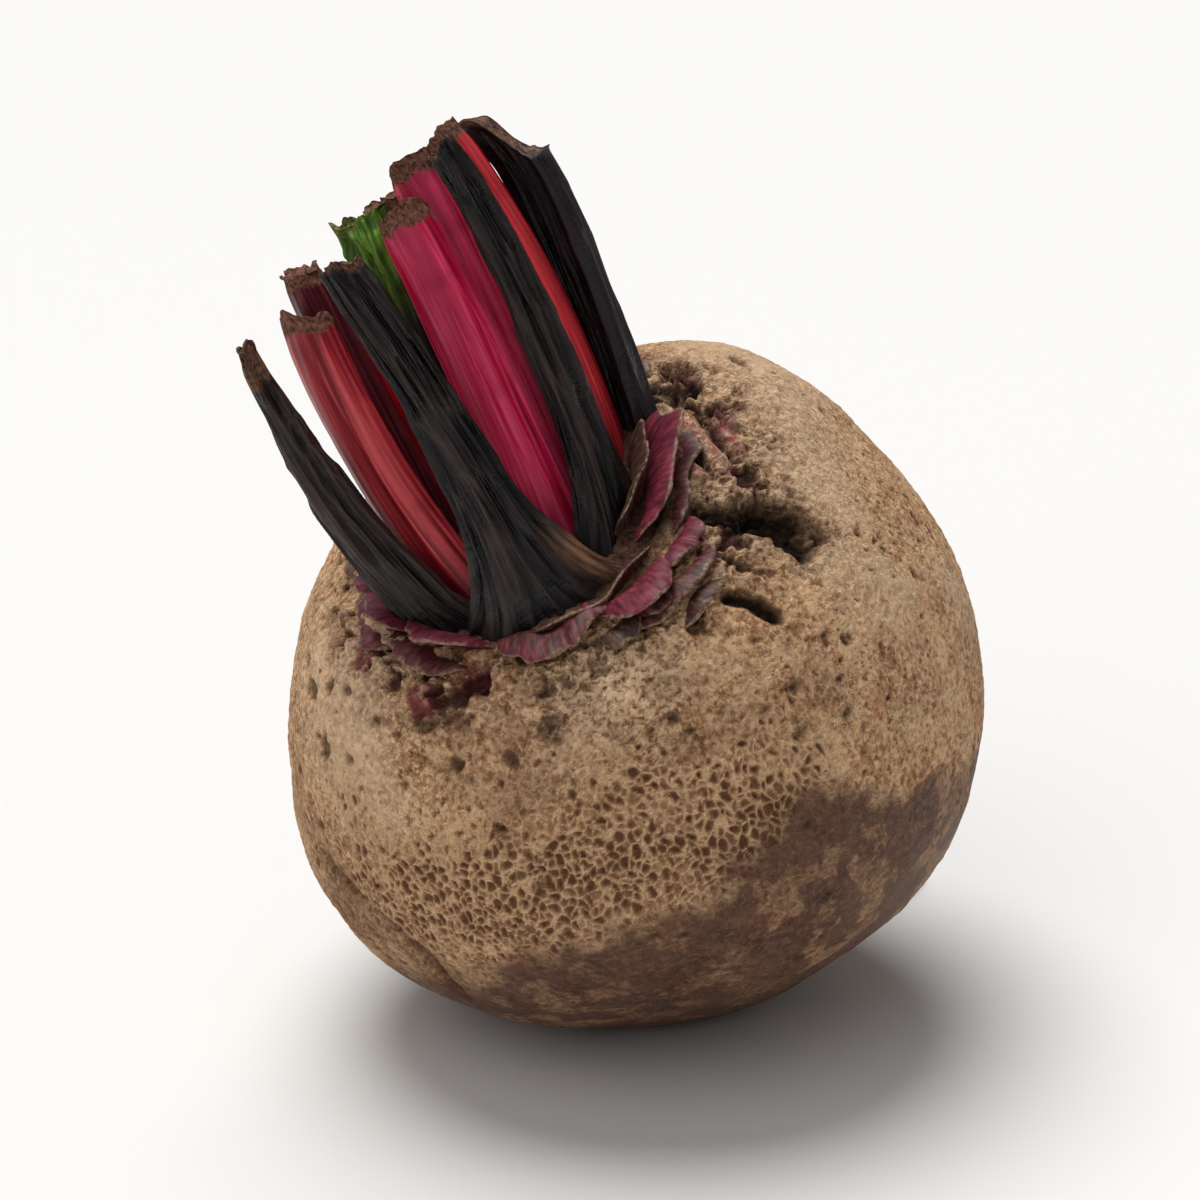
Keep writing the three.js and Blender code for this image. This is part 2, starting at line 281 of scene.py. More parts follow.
# %% Broad shape
height = 0.8 * swell(place, 34, 11) + 0.5 * swell(place, 15, 12, 2)
height += 0.16 * swell(place, 5, 13, 2)
print("broad relief", height.min().round(2), height.max().round(2), "mm")

# %% [markdown]
# ## Crown terraces
# Old leaves tore off in rings round the crown and left ledges. The distance from the crown is made to
# wander with noise, and its remainder by the step of one ledge gives the ledges' profile.

# %% Crown terraces
TERRACE_STEP = 3.1
TERRACE_HEIGHT, TERRACE_SINK = 0.9, 0.35
rough_side = patch(8, 48, 38, 20) + patch(-150, 52, 46, 14) + 0.6 * patch(100, 50, 50, 14)
terrace_zone = ease(from_crown, 15, 19) * ease(from_crown, 37, 27) * np.clip(0.25 + rough_side, 0, 1)
wandering = from_crown + 1.8 * swell(place, 8, 21, 2) + 0.7 * swell(place, 2.6, 24)
terrace = (wandering / TERRACE_STEP) % 1
torn = ease(swell(place, 6, 22, 2), -0.25, 0.15)
ledge = ease(terrace, 0.0, 0.25) * ease(terrace, 1.0, 0.35)
height += terrace_zone * (TERRACE_HEIGHT * ledge * torn - TERRACE_SINK)
scar = terrace_zone * torn * ease(terrace, 0.75, 0.35)
print("terraces cover", round(float((terrace_zone > 0.3).mean()) * 100, 1), "% of the skin")

# %% [markdown]
# ## Scars right of the crown
# One deep torn hollow, a small pit with a ridge, and bars of torn skin lie where big leaves were pulled
# off. Each follows a line through points in the upright frame; the distance to the line, made ragged by
# noise, says how deep to cut. The hollow deepens outwards and has a raised, flaky rim.

# %% Torn hollow
HOLLOW_LINE = [(26, -9.9, 34.6), (30, -10.7, 32.6), (34.4, -10.3, 29.4), (37.6, -11.3, 25.5)]
HOLLOW_DEPTH, HOLLOW_DEEPER = 1.4, 2.6
gap = gap_to_line(HOLLOW_LINE, 2.4, 31)
deepening = ease(place[:, 0], 25, 34)
hollow = ease(gap, 2.0 + 1.3 * deepening, 0.6 + 0.9 * deepening)
hollow_rim = ease(gap, 6.5, 3.2) * (1 - hollow)
shreds = swell(place * (1, 3, 1), 4, 33, 3)
height += hollow * (1.3 * shreds - HOLLOW_DEPTH - HOLLOW_DEEPER * deepening)
height += 0.8 * hollow_rim * swell(place, 2.6, 38, 2)
print("hollow cut", round(float(-(hollow * height).min()), 1), "mm deep")

# %% Smaller scars near the crown
ROUGH_SPOT = (22.2, 13.4, 37.1)
SECOND_PIT_LINE = [(27.5, -22.4, 29.2), (32.7, -23, 24.1)]
SECOND_RIDGE_LINE = [(27, -19.5, 31), (33.5, -20, 26.5)]
TORN_BARS = [
    [(20.8, 6.8, 37.4), (26.5, -4.6, 35.2)],
    [(24.6, 6.0, 36.6), (30.1, -3.5, 33.9)],
    [(28.3, 6.5, 35.4), (31.6, 0.0, 33.4)],
]
BAR_GAPS = [[(22.5, 5.8, 37.1), (27.8, -4.7, 34.8)], [(26.6, 7.9, 36.1), (29.9, -1.2, 34.3)]]
rough_gap = np.linalg.norm((place - ROUGH_SPOT) * (0.55, 1.0, 1.0), axis=1)
rough_spot = ease(rough_gap + 1.6 * swell(place, 3, 35, 3), 4.4, 2.2)
second_pit = ease(gap_to_line(SECOND_PIT_LINE, 1.4, 36), 1.7, 0.5)
bars = sum(bell(gap_to_line(bar, 0.7, 43 + k) / 0.95) for k, bar in enumerate(TORN_BARS))
bar_gaps = sum(bell(gap_to_line(gap, 0.7, 46 + k) / 0.6) for k, gap in enumerate(BAR_GAPS))
height += rough_spot * (-0.9 + 1.3 * swell(place, 1.7, 37, 2)) - 1.9 * second_pit
height += 0.8 * bell(gap_to_line(SECOND_RIDGE_LINE, 1.0, 40) / 1.1) + 0.7 * bars - 1.5 * bar_gaps
hollow = hollow + 0.9 * rough_spot * ease(swell(place, 1.2, 34, 2), -0.5, 0.2) + second_pit
bark = np.clip(patch(2, 47, 30, 16) + hollow_rim + 0.5 * patch(-140, 50, 30, 10), 0, 1)
height += 0.34 * bark * swell(place, 2.4, 39, 3)
print(len(TORN_BARS), "torn bars and", len(BAR_GAPS), "gaps between them")

# %% [markdown]
# ## Cavities and flakes
# Where old leaf bases rotted away they left small caves with shreds at the rim, most of them left and
# right of the crown, and the cork around lifts in flakes; the caves are painted dark as painted shade over
# dark brown. A cave is where the noise is high, and a shred where it is just below that; folded noise,
# 1 minus its size, makes the flakes' sharp edges.

# %% Cavities and flakes
cave_zone = ease(from_crown, 21, 25) * ease(from_crown, 36, 28)
cave_sides = patch(-150, 48, 40, 18) + patch(0, 48, 55, 18) + 0.5 * patch(-100, 48, 20, 8)
cave_zone *= np.clip(0.35 + cave_sides, 0, 1)
cave_noise = swell(place * (1, 1, 0.7), 3.2, 81, 3) + 0.35 * swell(place, 1.2, 84, 2)
cave = cave_zone * ease(cave_noise, 0.12, 0.42)
shred = cave_zone * bell((cave_noise - 0.02) / 0.09)
height += -1.3 * cave + 0.4 * shred
flaky = ease(from_crown, 40, 27) * ease(from_crown, 16, 22)
flakes = 1 - 3 * np.abs(swell(place, 1.9, 87, 2))
height += flaky * (0.45 * swell(place, 3.8, 86, 2) + 0.26 * flakes)
print("caves cover", round(float((cave > 0.5).mean()) * 100, 2), "% of the skin")

# %% [markdown]
# ## Crease, cracks, red spots and fuzz
# A seam runs down the left flank where the root grew round something hard, and the thin skin below the
# netting has a few fine cracks. Red spots near the crown are scars where sap dried. One patch under the
# crown is fuzzy with torn cork; it only changes the colour.

# %% Crease
CREASE_LINE = [(-41, -25, 8), (-37, -32, 3.3), (-33.3, -35.6, 1), (-30.4, -38.3, -4), (-29, -37, -13)]
CREASE_DEPTH, CREASE_VALLEY = 1.1, 0.5
crease_gap = gap_to_line(CREASE_LINE, 1.2, 41)
crease = bell(crease_gap)
height -= CREASE_DEPTH * crease + CREASE_VALLEY * bell(crease_gap / 3.0)
print("crease", int((crease > 0.5).sum()), "points")

# %% Bottom cracks, red spots and fuzz
CRACKS_TURN, CRACKS_RISE = -84, -14
CRACK_DEPTH = SPOT_DEPTH = 0.5
RED_SPOTS = [(-15.1, -27.1, 32.3), (-6.8, -27.9, 33.4), (-22.5, -17, 33.5), (1.5, -26.5, 35)]


def on_skin(turn, level):
    """Millimetres across and up the skin from one address."""
    across = turn_gap(turn) * np.radians(1) * np.hypot(place[:, 0], place[:, 1])
    return across, (rise - level) * np.radians(1) * reach


across, up = on_skin(CRACKS_TURN, CRACKS_RISE)
along_cracks = 0.8 * across + 0.6 * up
over_cracks = 0.8 * up - 0.6 * across
crack_noise = swell(np.stack([along_cracks * 0.3, over_cracks, 0 * reach], axis=1), 0.9, 91, 2)
cracks = bell(along_cracks / 4.2) * bell(over_cracks / 2.0) * ease(crack_noise, 0.0, 0.25)
crease = np.maximum(crease, cracks)
red_spots = np.zeros(len(place))
for number, spot in enumerate(RED_SPOTS):
    spot_gap = np.linalg.norm(place - spot, axis=1) + 1.3 * swell(place, 1.9, 92 + number, 3)
    red_spots = np.maximum(red_spots, ease(spot_gap, 3.0, 1.6))
height -= CRACK_DEPTH * cracks + SPOT_DEPTH * red_spots
fuzz = patch(-70, 42, 17, 9)
print("red spots", len(RED_SPOTS))

# %% [markdown]
# ## Pores and scattered scars
# The root breathes through lenticels: dark pits under a millimetre wide. Each tile of space has one
# chance to hold a pore, likelier on some sides. A table places the bigger scars by turn, rise and size,
# and a finer set of tiles adds pinpricks on the upper half.

# %% Lenticels and scattered scars
SCARS = [
    (-87, 38, 2.6), (-109, 35, 1.9), (-97, 35, 2.2), (-147, 32, 2.6), (-64, 31, 1.8), (-103, 24, 2.0),
    (-158, 38, 2.4), (-151, 41, 2.0), (-168, 30, 1.8), (-118, 42, 2.6), (-80, 44, 1.8), (-30, 20, 1.8),
    (35, 40, 2.2), (80, 30, 2.0), (120, 36, 2.4), (150, 25, 1.8), (20, 20, 1.6), (-8, 12, 1.6),
]
PORE_SPACING, PINPRICK_SPACING = 4.4, 1.7
PORE_DEPTH = 0.7
pore_near, _, pore_owner = tiles(place * (1, 1, 1.5), PORE_SPACING, 51)
pore_share = 0.14 + 0.45 * patch(-148, 34, 26, 24) + 0.2 * patch(-60, 35, 60, 14)
pore_radius = 0.09 + 0.15 * ((pore_owner * 57) % 1)
pore = (pore_owner < pore_share) * bell(pore_near / pore_radius)
for number, (turn, level, size) in enumerate(SCARS):
    stretch = 0.8 + 0.4 * (number % 3)
    across, up = on_skin(turn, level)
    spot = np.hypot(across * stretch, up) / size + 0.5 * swell(place, 1.4, 52, 2)
    pore = np.maximum(pore, 0.85 * ease(spot, 0.75, 0.2))
pinprick_near, _, pinprick_owner = tiles(place * (1, 1, 1.25), PINPRICK_SPACING, 55)
pinprick = bell(pinprick_near / (0.13 + 0.1 * pinprick_owner))
pinprick *= pinprick_owner < 0.16 + 0.3 * ease(rise, 10, 34)
pore = np.maximum(pore, 0.75 * pinprick * ease(swell(place, 6, 56, 2), -0.3, 0.3))
pore *= ease(rise, -35, -10) * off_tail * np.clip(1 - hollow, 0, 1)
height -= PORE_DEPTH * pore
print("lenticels", len(np.unique(pore_owner[pore > 0.5])))

# %% [markdown]
# ## Netting
# Low on the front the cork split into a net, as on a melon: pale raised walls round brown dimples about
# a millimetre wide, painted darker as painted shade. The gap between the nearest and the second nearest
# tile middle is small on a wall and large inside a cell, so it draws both; where the net is weak only
# some cells open.

# %% Netting
NET_CELL = 1.2
DIMPLE_DEPTH, WEB_HEIGHT = 0.3, 0.12
strength = patch(-108, 10, 19, 10) + 0.8 * patch(-84, 14, 24, 11) + 0.62 * patch(-62, 10, 15, 8)
strength += 0.5 * patch(-125, 14, 16, 12)
faint_net = ease(rise, -12, 6) * ease(rise, 46, 26) * ease(swell(place, 11, 69, 2), -0.5, 0.4)
strength += 0.36 * faint_net
strength = np.clip(strength + 0.28 * swell(place, 7, 61, 3) * ease(strength, 0, 0.4), 0, 1) * off_tail
wobble = np.stack([swell(place, 2.0, 62 + k, 2) for k in range(3)], axis=1)
net_near, net_second, net_owner = tiles(place * (1, 1, 0.72) + 0.5 * wobble, NET_CELL, 65)
wall_gap = net_second - net_near
starts = 0.52 - 0.42 * strength
dimple = ease(wall_gap, starts, starts + 0.34)
dimple *= ease(net_owner, 0.08 + 1.0 * strength, 0.95 * strength - 0.1)
dimple *= ease(strength, 0.03, 0.12) * (1 - bark * 0.7)
strong = ease(strength, 0.35, 0.8)
web = ease(strength, 0.15, 0.6) * ease(wall_gap, 0.2, 0.03)
height += WEB_HEIGHT * web - DIMPLE_DEPTH * dimple
print("netting covers", round(float((strong > 0.5).mean()) * 100, 1), "% of the skin")

# %% [markdown]
# ## Thin skin and grain
# Underneath, the skin stayed thin and smooth. Its upper edge is a table of turn and rise, blurred and
# torn by noise. Above it the cork has a felt of fine fibres, folded noise again. The tail is ringed.

# %% Thin skin and grain
PURPLE_LINE = [(-180, -16), (-150, -12), (-128, -14), (-110, -1), (-92, 2), (-74, 1), (-62, 8), (-48, 5),
               (-38, -6), (-26, -18), (10, -30), (60, -28), (110, -20), (150, -20), (180, -16)]
SMOOTHED = 0.45  # how much of the relief the thin skin hides
edge_rise = np.interp(around, [turn for turn, _ in PURPLE_LINE], [level for _, level in PURPLE_LINE])
edge_rise += 5 * swell(place, 12, 72, 2) + 5 * swell(place, 3.5, 75, 4)
thin_skin = ease(rise, edge_rise + 4, edge_rise - 4) * off_tail
thin_skin *= 1 - 0.4 * ease(swell(place, 4, 76, 4), 0.0, 0.3)
height *= 1 - SMOOTHED * thin_skin
folded = [1 - 4.5 * np.abs(swell(place, size, seed)) for size, seed in ((1.5, 78), (1.1, 79))]
fibres = np.maximum(0, np.maximum(*folded))
grain = 0.13 * swell(place * (1, 1, 1.3), 1.1, 71, 2) + 0.07 * fibres
height += grain * (1 - 0.7 * thin_skin)
tail_rings = np.sin((reach + 1.2 * swell(place, 4, 73)) * 2.4)
height = height * off_tail + on_tail * (0.16 * tail_rings + 0.3 * swell(place, 3, 74, 2))
print("thin skin covers", round(float((thin_skin > 0.3).mean()) * 100, 1), "% of the skin")

# %% [markdown]
# ## Raising the skin
# The height now moves every point along its normal, but never below the surface that the root rests on.
# The masks are stored on the mesh as named attributes, which a shader can read by name.

# %% Raise the skin
def keep(mesh, name, values):
    """Stores one number, or three, per point for the material to read."""
    values = np.asarray(values, dtype=np.float32)
    kind, field = ("FLOAT_VECTOR", "vector") if values.shape[-1] == 3 else ("FLOAT", "value")
    mesh.attributes.new(name, kind, "POINT").data.foreach_set(field, values.ravel())


carved = skin_points + normals * (height * MM)[:, None]
carved[:, 2] = np.maximum(carved[:, 2], 0.0)
body_mesh.vertices.foreach_set("co", carved.ravel())
body_mesh.update()
MASKS = {
    "dimple": dimple, "web": web, "strong": strong, "pore": pore, "scar": scar, "bars": bars,
    "bar_gaps": bar_gaps, "hollow": hollow, "crease": crease, "bark": bark, "cave": cave,
    "shred": shred, "thin_skin": thin_skin, "tail": on_tail, "fibres": fibres, "red_spots": red_spots,
    "fuzz": fuzz, "crown_red": ease(from_crown, 24, 19) * (place[:, 2] > 0), "dip": 0.5 - 0.8 * height,
}
for mask_name, mask in MASKS.items():
    keep(body_mesh, mask_name, np.clip(mask, 0, 1))
print(len(MASKS), "masks; skin relief from", height.min().round(2), "to", height.max().round(2), "mm")

# %% [markdown]
# ## Nodes and colours
# A material is a small machine: textures and masks go in, a shader comes out. One function adds a node
# with its settings and links. Colours are written as the hex codes a painter would pick, and turned to
# linear light, which is what the shader adds up.

# %% Node helper and colours
def linear(code):
    """An sRGB hex code as linear red, green, blue and alpha."""
    parts = [int(code[k : k + 2], 16) / 255 for k in (1, 3, 5)]
    return tuple(c / 12.92 if c <= 0.04045 else ((c + 0.055) / 1.055) ** 2.4 for c in parts) + (1.0,)


def fill(tree, node, **settings):
    """Sets a node up. A setting is a property, an input by name or, as i0, i1 and so on, by number. As a
    value, a socket is linked, #RRGGBB is a colour and any other word reads that mask off the mesh;
    stops are a colour ramp's (position, hex colour) pairs."""
    for key, value in settings.items():
        if key == "stops":
            ramp = node.color_ramp
            while len(ramp.elements) < len(value):
                ramp.elements.new(1.0)
            for stop, (position, code) in zip(ramp.elements, value):
                stop.position = position
                stop.color = linear(code)
            continue
        spot = int(key[1:]) if key[0] == "i" and key[1:].isdigit() else key.replace("_", " ")
        if isinstance(spot, str) and spot not in node.inputs:
            setattr(node, key, value)
            continue
        if isinstance(value, str) and value[0] == "#":
            value = linear(value)
        elif isinstance(value, str):
            value = add(tree, "Attribute", attribute_name=value).outputs["Fac"]
        if isinstance(value, bpy.types.NodeSocket):
            tree.links.new(value, node.inputs[spot])
        else:
            node.inputs[spot].default_value = value
    return node


def add(tree, kind, **settings):
    """Adds a shader node and sets it up."""
    return fill(tree, tree.nodes.new("ShaderNode" + kind), **settings)


print("mid grey is", round(linear("#808080")[0], 3), "in linear light")

# %% [markdown]
# ## Steps that every finish shares
# Real surfaces are built up in layers, and so are these: each layer is a colour laid over the last where
# a mask or a noise says so. Noise is sized in real millimetres, the width of a fleck or a streak, and
# the last step turns the finest patterns into a slight relief.

# %% Steps of a finish
def new_material(name):
    """An empty node material and its tree, with a Principled shader joined to the output."""
    material = bpy.data.materials.new(name)
    material.use_nodes = True
    return material, material.node_tree


def clouds(tree, place_mm, *rows):
    """One noise for each row: its swellings in millimetres, its detail, roughness and distortion."""
    return [
        add(tree, "TexNoise", Vector=place_mm, Scale=1 / size, Detail=detail, Roughness=roughness,
            Distortion=distortion).outputs["Fac"]
        for size, detail, roughness, distortion in rows
    ]


def layer(tree, under, over, part, low=0.0, high=1.0, most=1.0, where=None):
    """A colour over another: not at all where part is low, by most where it is high. A second mask,
    where, can hold it back."""
    share = add(tree, "MapRange", i0=part, i1=low, i2=high, i4=most).outputs[0]
    if where is not None:
        share = add(tree, "Math", operation="MULTIPLY", i0=share, i1=where).outputs[0]
    return add(tree, "Mix", data_type="RGBA", i0=share, i6=under, i7=over).outputs[2]


def finish_material(tree, colour, roughness, heights, depth_mm, strength, ior, specular):
    """Turns weighted heights into a bump and hands everything to the Principled shader."""
    relief = 0.0
    for socket, weight in heights:
        relief = add(tree, "Math", operation="MULTIPLY_ADD", i0=socket, i1=weight, i2=relief).outputs[0]
    bump = add(tree, "Bump", Strength=strength, Distance=depth_mm * MM, Height=relief)
    fill(tree, tree.nodes["Principled BSDF"], Base_Color=colour, Roughness=roughness, IOR=ior,
         Specular_IOR_Level=specular, Normal=bump.outputs[0])
    print(len(tree.nodes), "nodes, roughness", roughness if isinstance(roughness, float) else "varies")


# %% [markdown]
# ## Cork skin
# The skin is cork: dead, air-filled cells the colour of wet sand, quite matt. Flecks just under a
# millimetre wide are its cells' clumps, thin felt lines its torn fibres. Raised parts are painted paler,
# as scuffs and painted highlight; the dips are painted darker, as brown earth and painted shade; and
# rust-coloured soil stains broad patches.

# %% Cork patterns
cork, tree = new_material("cork_skin")
object_place = add(tree, "TexCoord").outputs["Object"]
in_mm = add(tree, "VectorMath", operation="SCALE", i0=object_place, Scale=1 / MM).outputs[0]
broad, middling, fleck, speck, felt_zone, rust, sap_zone = clouds(
    tree, in_mm, (20, 3, 0.55, 0), (4, 4, 0.6, 0), (0.9, 4, 0.65, 0.4), (0.4, 2, 0.6, 0),
    (7, 3, 0.55, 0), (9, 4, 0.6, 0.8), (6, 3, 0.55, 0))


def fibre_lines(size_mm, width, shift):
    """Thin criss-crossing lines: the walls of a cell pattern, pushed about by noise."""
    noise = add(tree, "TexNoise", Vector=in_mm, Scale=1 / (size_mm * 1.2), Detail=2.0).outputs["Color"]
    centred = add(tree, "VectorMath", operation="SUBTRACT", i0=noise, i1=(0.5 + shift, 0.5, 0.5)).outputs[0]
    push = add(tree, "VectorMath", operation="SCALE", i0=centred, Scale=size_mm * 2.2).outputs[0]
    moved = add(tree, "VectorMath", operation="ADD", i0=in_mm, i1=push).outputs[0]
    walls = add(tree, "TexVoronoi", feature="DISTANCE_TO_EDGE", Vector=moved, Scale=1 / size_mm)
    return add(tree, "MapRange", i0=walls.outputs["Distance"], i1=width, i2=0.0).outputs[0]


felt = add(tree, "Math", operation="MAXIMUM", i0=fibre_lines(1.5, 0.09, 0.0), i1=fibre_lines(1.0, 0.10, 3.7))
felt = felt.outputs[0]
print("cork patterns", len(tree.nodes), "nodes")

# %% Cork colours
colour = add(tree, "ValToRGB", Fac=middling, stops=[(0.32, "#845430"), (0.47, "#BA855C"), (0.62, "#DEAF84")])
colour = colour.outputs[0]
for row in [
    ("#A0734F", broad, 0.42, 0.66),
    ("#ECC69C", fleck, 0.51, 0.62, 0.8),
    ("#4E2C18", fleck, 0.50, 0.38, 0.75),
    ("#ECCBA2", felt_zone, 0.40, 0.62, 0.75, felt),
    ("#E2BC92", "fibres", 0, 1, 0.35),
    ("#A2582A", rust, 0.60, 0.74, 0.5),
    # Painted shade with brown earth in the dips, and painted highlight with pale scuffs on raised parts.
    ("#5C3A26", "dip", 0.62, 0.95, 0.5),
    ("#E4C6A4", "dip", 0.40, 0.05, 0.45),
    ("#EACBA6", fleck, 0.40, 0.56, 0.75, "fuzz"),
]:
    colour = layer(tree, colour, *row)

# %% [markdown]
# ## Net, thin skin and scars
# The net's walls are pale dry cork and its dimples brown, painted darker as painted shade. The thin skin
# underneath is purple-brown, with tan scuffs, and painted darker as painted shade on the underside. Near
# the crown, red sap has dried in the scars. The deepest holes, the caves, the crease and the crown under
# the stalks are painted dark, the deepest nearly black: painted shade over dark brown and red.

# %% Net and thin skin colours
# Purple-brown thin skin, painted darker than its own colour as painted shade on the underside.
film_and_shade = layer(tree, "#3A1E1A", "#552F26", middling, 0.35, 0.65)
film_and_shade = layer(tree, film_and_shade, "#8A6048", fleck, 0.54, 0.72, 0.5)
film_and_shade = layer(tree, film_and_shade, "#6E4A36", broad, 0.48, 0.66, 0.3)
for row in [
    (layer(tree, "#80573A", "#AC7E5A", fleck, 0.3, 0.7), "strong", 0, 1, 0.5),
    (layer(tree, "#C49870", "#E4C299", speck, 0.35, 0.65), "web", 0, 1, 0.85),
    (film_and_shade, "thin_skin", 0, 1, 0.88),
    # Brown cork with painted shade: the dimples are painted dark brown.
    (layer(tree, "#452817", "#6E4830", speck, 0.3, 0.7), "dimple", 0, 1, 0.85),
]:
    colour = layer(tree, colour, *row)

# %% Scar colours
sap = layer(tree, "#4E1C24", "#86323F", middling, 0.35, 0.65)
for row in [
    (layer(tree, "#4A3226", "#C4A98B", fleck, 0.38, 0.62), "bark", 0, 1, 0.5),
    (sap, sap_zone, 0.46, 0.62, 0.8, "scar"),
    (layer(tree, "#9C4A52", "#C79A85", fleck, 0.40, 0.60), "bars", 0, 1, 0.85),
    ("#3A1518", "bar_gaps", 0, 1, 0.95),
    (sap, "red_spots", 0, 1, 0.85),
    # Painted shade over dark red-brown: the crown under and between the stalk feet is painted near-black.
    (layer(tree, "#1C0C0B", "#48261F", fleck, 0.4, 0.6), "crown_red", 0, 1, 0.93),
    # Painted shade, reddish: the crease and the fine cracks are painted darker.
    ("#4A2426", "crease", 0, 1, 0.6),
    (layer(tree, "#6E4A36", "#D6B896", fleck, 0.42, 0.60), "shred", 0, 1, 0.7),
    # Painted shade over dark brown: the caves are painted nearly black.
    (layer(tree, "#20120C", "#4A1C20", middling, 0.40, 0.62), "cave", 0, 1, 0.95),
    # Painted shade over dark brown: the torn hollow, the rough spot and the small pit are painted nearly
    # black.
    (layer(tree, "#0E0805", "#3E2A1E", fleck, 0.50, 0.72), "hollow", 0, 1, 0.96),
    ("#2E1C12", "pore", 0, 1, 0.85),
    ("#7C5840", "tail", 0, 1, 0.6),
]:
    colour = layer(tree, colour, *row)

# %% Cork relief and gloss
CORK_ROUGHNESS, FILM_ROUGHNESS = 0.86, 0.50
matt = add(tree, "MapRange", i0="thin_skin", i3=CORK_ROUGHNESS, i4=FILM_ROUGHNESS).outputs[0]
finish_material(tree, colour, matt, [(fleck, 0.7), (speck, 0.4), (felt, 0.25)],
                depth_mm=0.4, strength=0.9, ior=1.45, specular=0.22)
body_mesh.materials.append(cork)
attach(body, "root")
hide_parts("root")

# %% [markdown]
# ## Leaf bases
# Every stalk and young leaf is a leaf base: a strip with a rounded back and a channelled inner
# face that follows a curved line out of the crown and is widest where it clasps it. The table gives each
# one's own proportions in the upright frame, in millimetres, close to the ones that shaped its CAD solid:
# where its foot is, how far its tip is from the foot, how it bows, the way its back faces in degrees, its
# widths, its thickness, the radius it clasps and the depth of its channel.

# %% The leaf bases' proportions
COLUMNS = ("foot", "reach", "bow", "outward", "width", "foot_width", "tip_width", "thick", "clasp", "channel")
LEAF_BASES = {
    "dried_stalk_front": ((3.7, -20.8), (-8.5, 22, 46.5), (1.4, -0.3, 0), -82, 7.4, 33, 5.8, 4, 17, 1),
    "dried_stalk_left": ((-11, -16.5), (-9.6, 16, 38.6), (-2.2, -1.2, 0), -112, 8.6, 13, 2.2, 4, 15, 0.8),
    "dried_stalk_right": ((13.6, -9.5), (-3.4, 25, 48.2), (2, 0.3, 0), -30, 6.6, 16, 4.6, 4, 14, 0.8),
    "dried_stalk_far_right": ((15.6, 6.4), (-1.2, 22.2, 42), (1.6, 1.1, 0), 70, 9, 10, 8, 3.2, 14, 1),
    "red_stalk_left": ((-7.5, -11.5), (-6.4, 17.1, 36.2), (-1.6, -0.8, 0), -130, 10, 12, 9, 7.5, 14, 1.4),
    "red_stalk_front": ((5.5, -8.5), (-3.5, 21.8, 41.7), (0.6, 0.2, 0), -78, 9.2, 11, 7.6, 7.5, 12, 1.4),
    "red_stalk_right": ((13, 4), (-5.4, 21.4, 42.5), (2, 0.8, 0), 0, 8.5, 10, 7.5, 6, 12, 1.2),
    "red_stalk_middle": ((6.5, 1), (-3.2, 22.3, 42), (0.6, 0.3, 0), -60, 8.5, 9.5, 8, 6.5, 12, 1.2),
    "maroon_stalk_left": ((-10.5, -3.5), (-4.1, 17.6, 37.9), (-0.3, 0, 0), 178, 8.5, 10, 8, 6.5, 12, 1.2),
    "young_leaf_front": ((-1.5, -6.5), (-4, 23, 41), (0.2, 0, 0), -100, 4.6, 4, 7.5, 2.4, 10, 0.3),
    "young_leaf_back": ((-1.5, -1), (-3.6, 20.5, 39), (-0.2, 0, 0), -80, 4.2, 4, 7, 2.2, 10, 0.3),
    "young_stalk": ((1.5, 2.5), (-2.6, 20, 38.5), (0, 0, 0), -60, 4.4, 5, 4, 3.6, 12, 0.5),
    "red_stalk_back_left": ((-9.5, 6), (-4, 16.5, 29.5), (-1, 0.6, 0), 150, 9, 11, 8, 7, 13, 1.3),
    "red_stalk_back": ((-1, 10.5), (-3.5, 19, 33), (0, 1, 0), 100, 9.5, 11, 8.5, 7, 13, 1.3),
    "red_stalk_back_right": ((9, 11.5), (-2.6, 19, 36), (1.2, 1, 0), 55, 8.5, 10, 7.5, 6.5, 13, 1.2),
    "dried_stalk_back": ((-5, 18.5), (-4.5, 18, 27), (-0.6, 1.6, -0.5), 112, 7, 20, 5, 3.4, 18, 0.8),
}
LEAF_BASES = {name: dict(zip(COLUMNS, row)) for name, row in LEAF_BASES.items()}
LEAF_BASES["dried_stalk_far_right"].update(hook=(-1.3, 0, -0.8), beak=3.2, droop=7.5, sunk=9)
LEAF_BASES["dried_stalk_left"].update(hook=(-0.4, 0, 1.6))
print(len(LEAF_BASES), "leaf bases")

# %% [markdown]
# ## Growing a leaf base
# A leaf base follows a curve with three control points: its foot, a little inside the crown, a middle
# that bows it, and its tip. A ray shot down finds the crown under the foot. A few tips have a hook.

# %% The middle line
FOOT_DEPTH = 3.5  # millimetres the foot is sunk into the crown
RAY_START = 90
HOOK_FROM = 0.7  # share of the length where a hook starts
crown_skin = BVHTree.FromPolygons(
    [tuple(v) for v in upright(points_of(cad_root.data))],
    [tuple(p.vertices) for p in cad_root.data.polygons],
)


def on_crown(right, back):
    """The crown's surface straight below a place in the upright frame."""
    hit = crown_skin.ray_cast(Vector((right, back, RAY_START)), Vector((0, 0, -1)))[0]
    return np.array(hit)


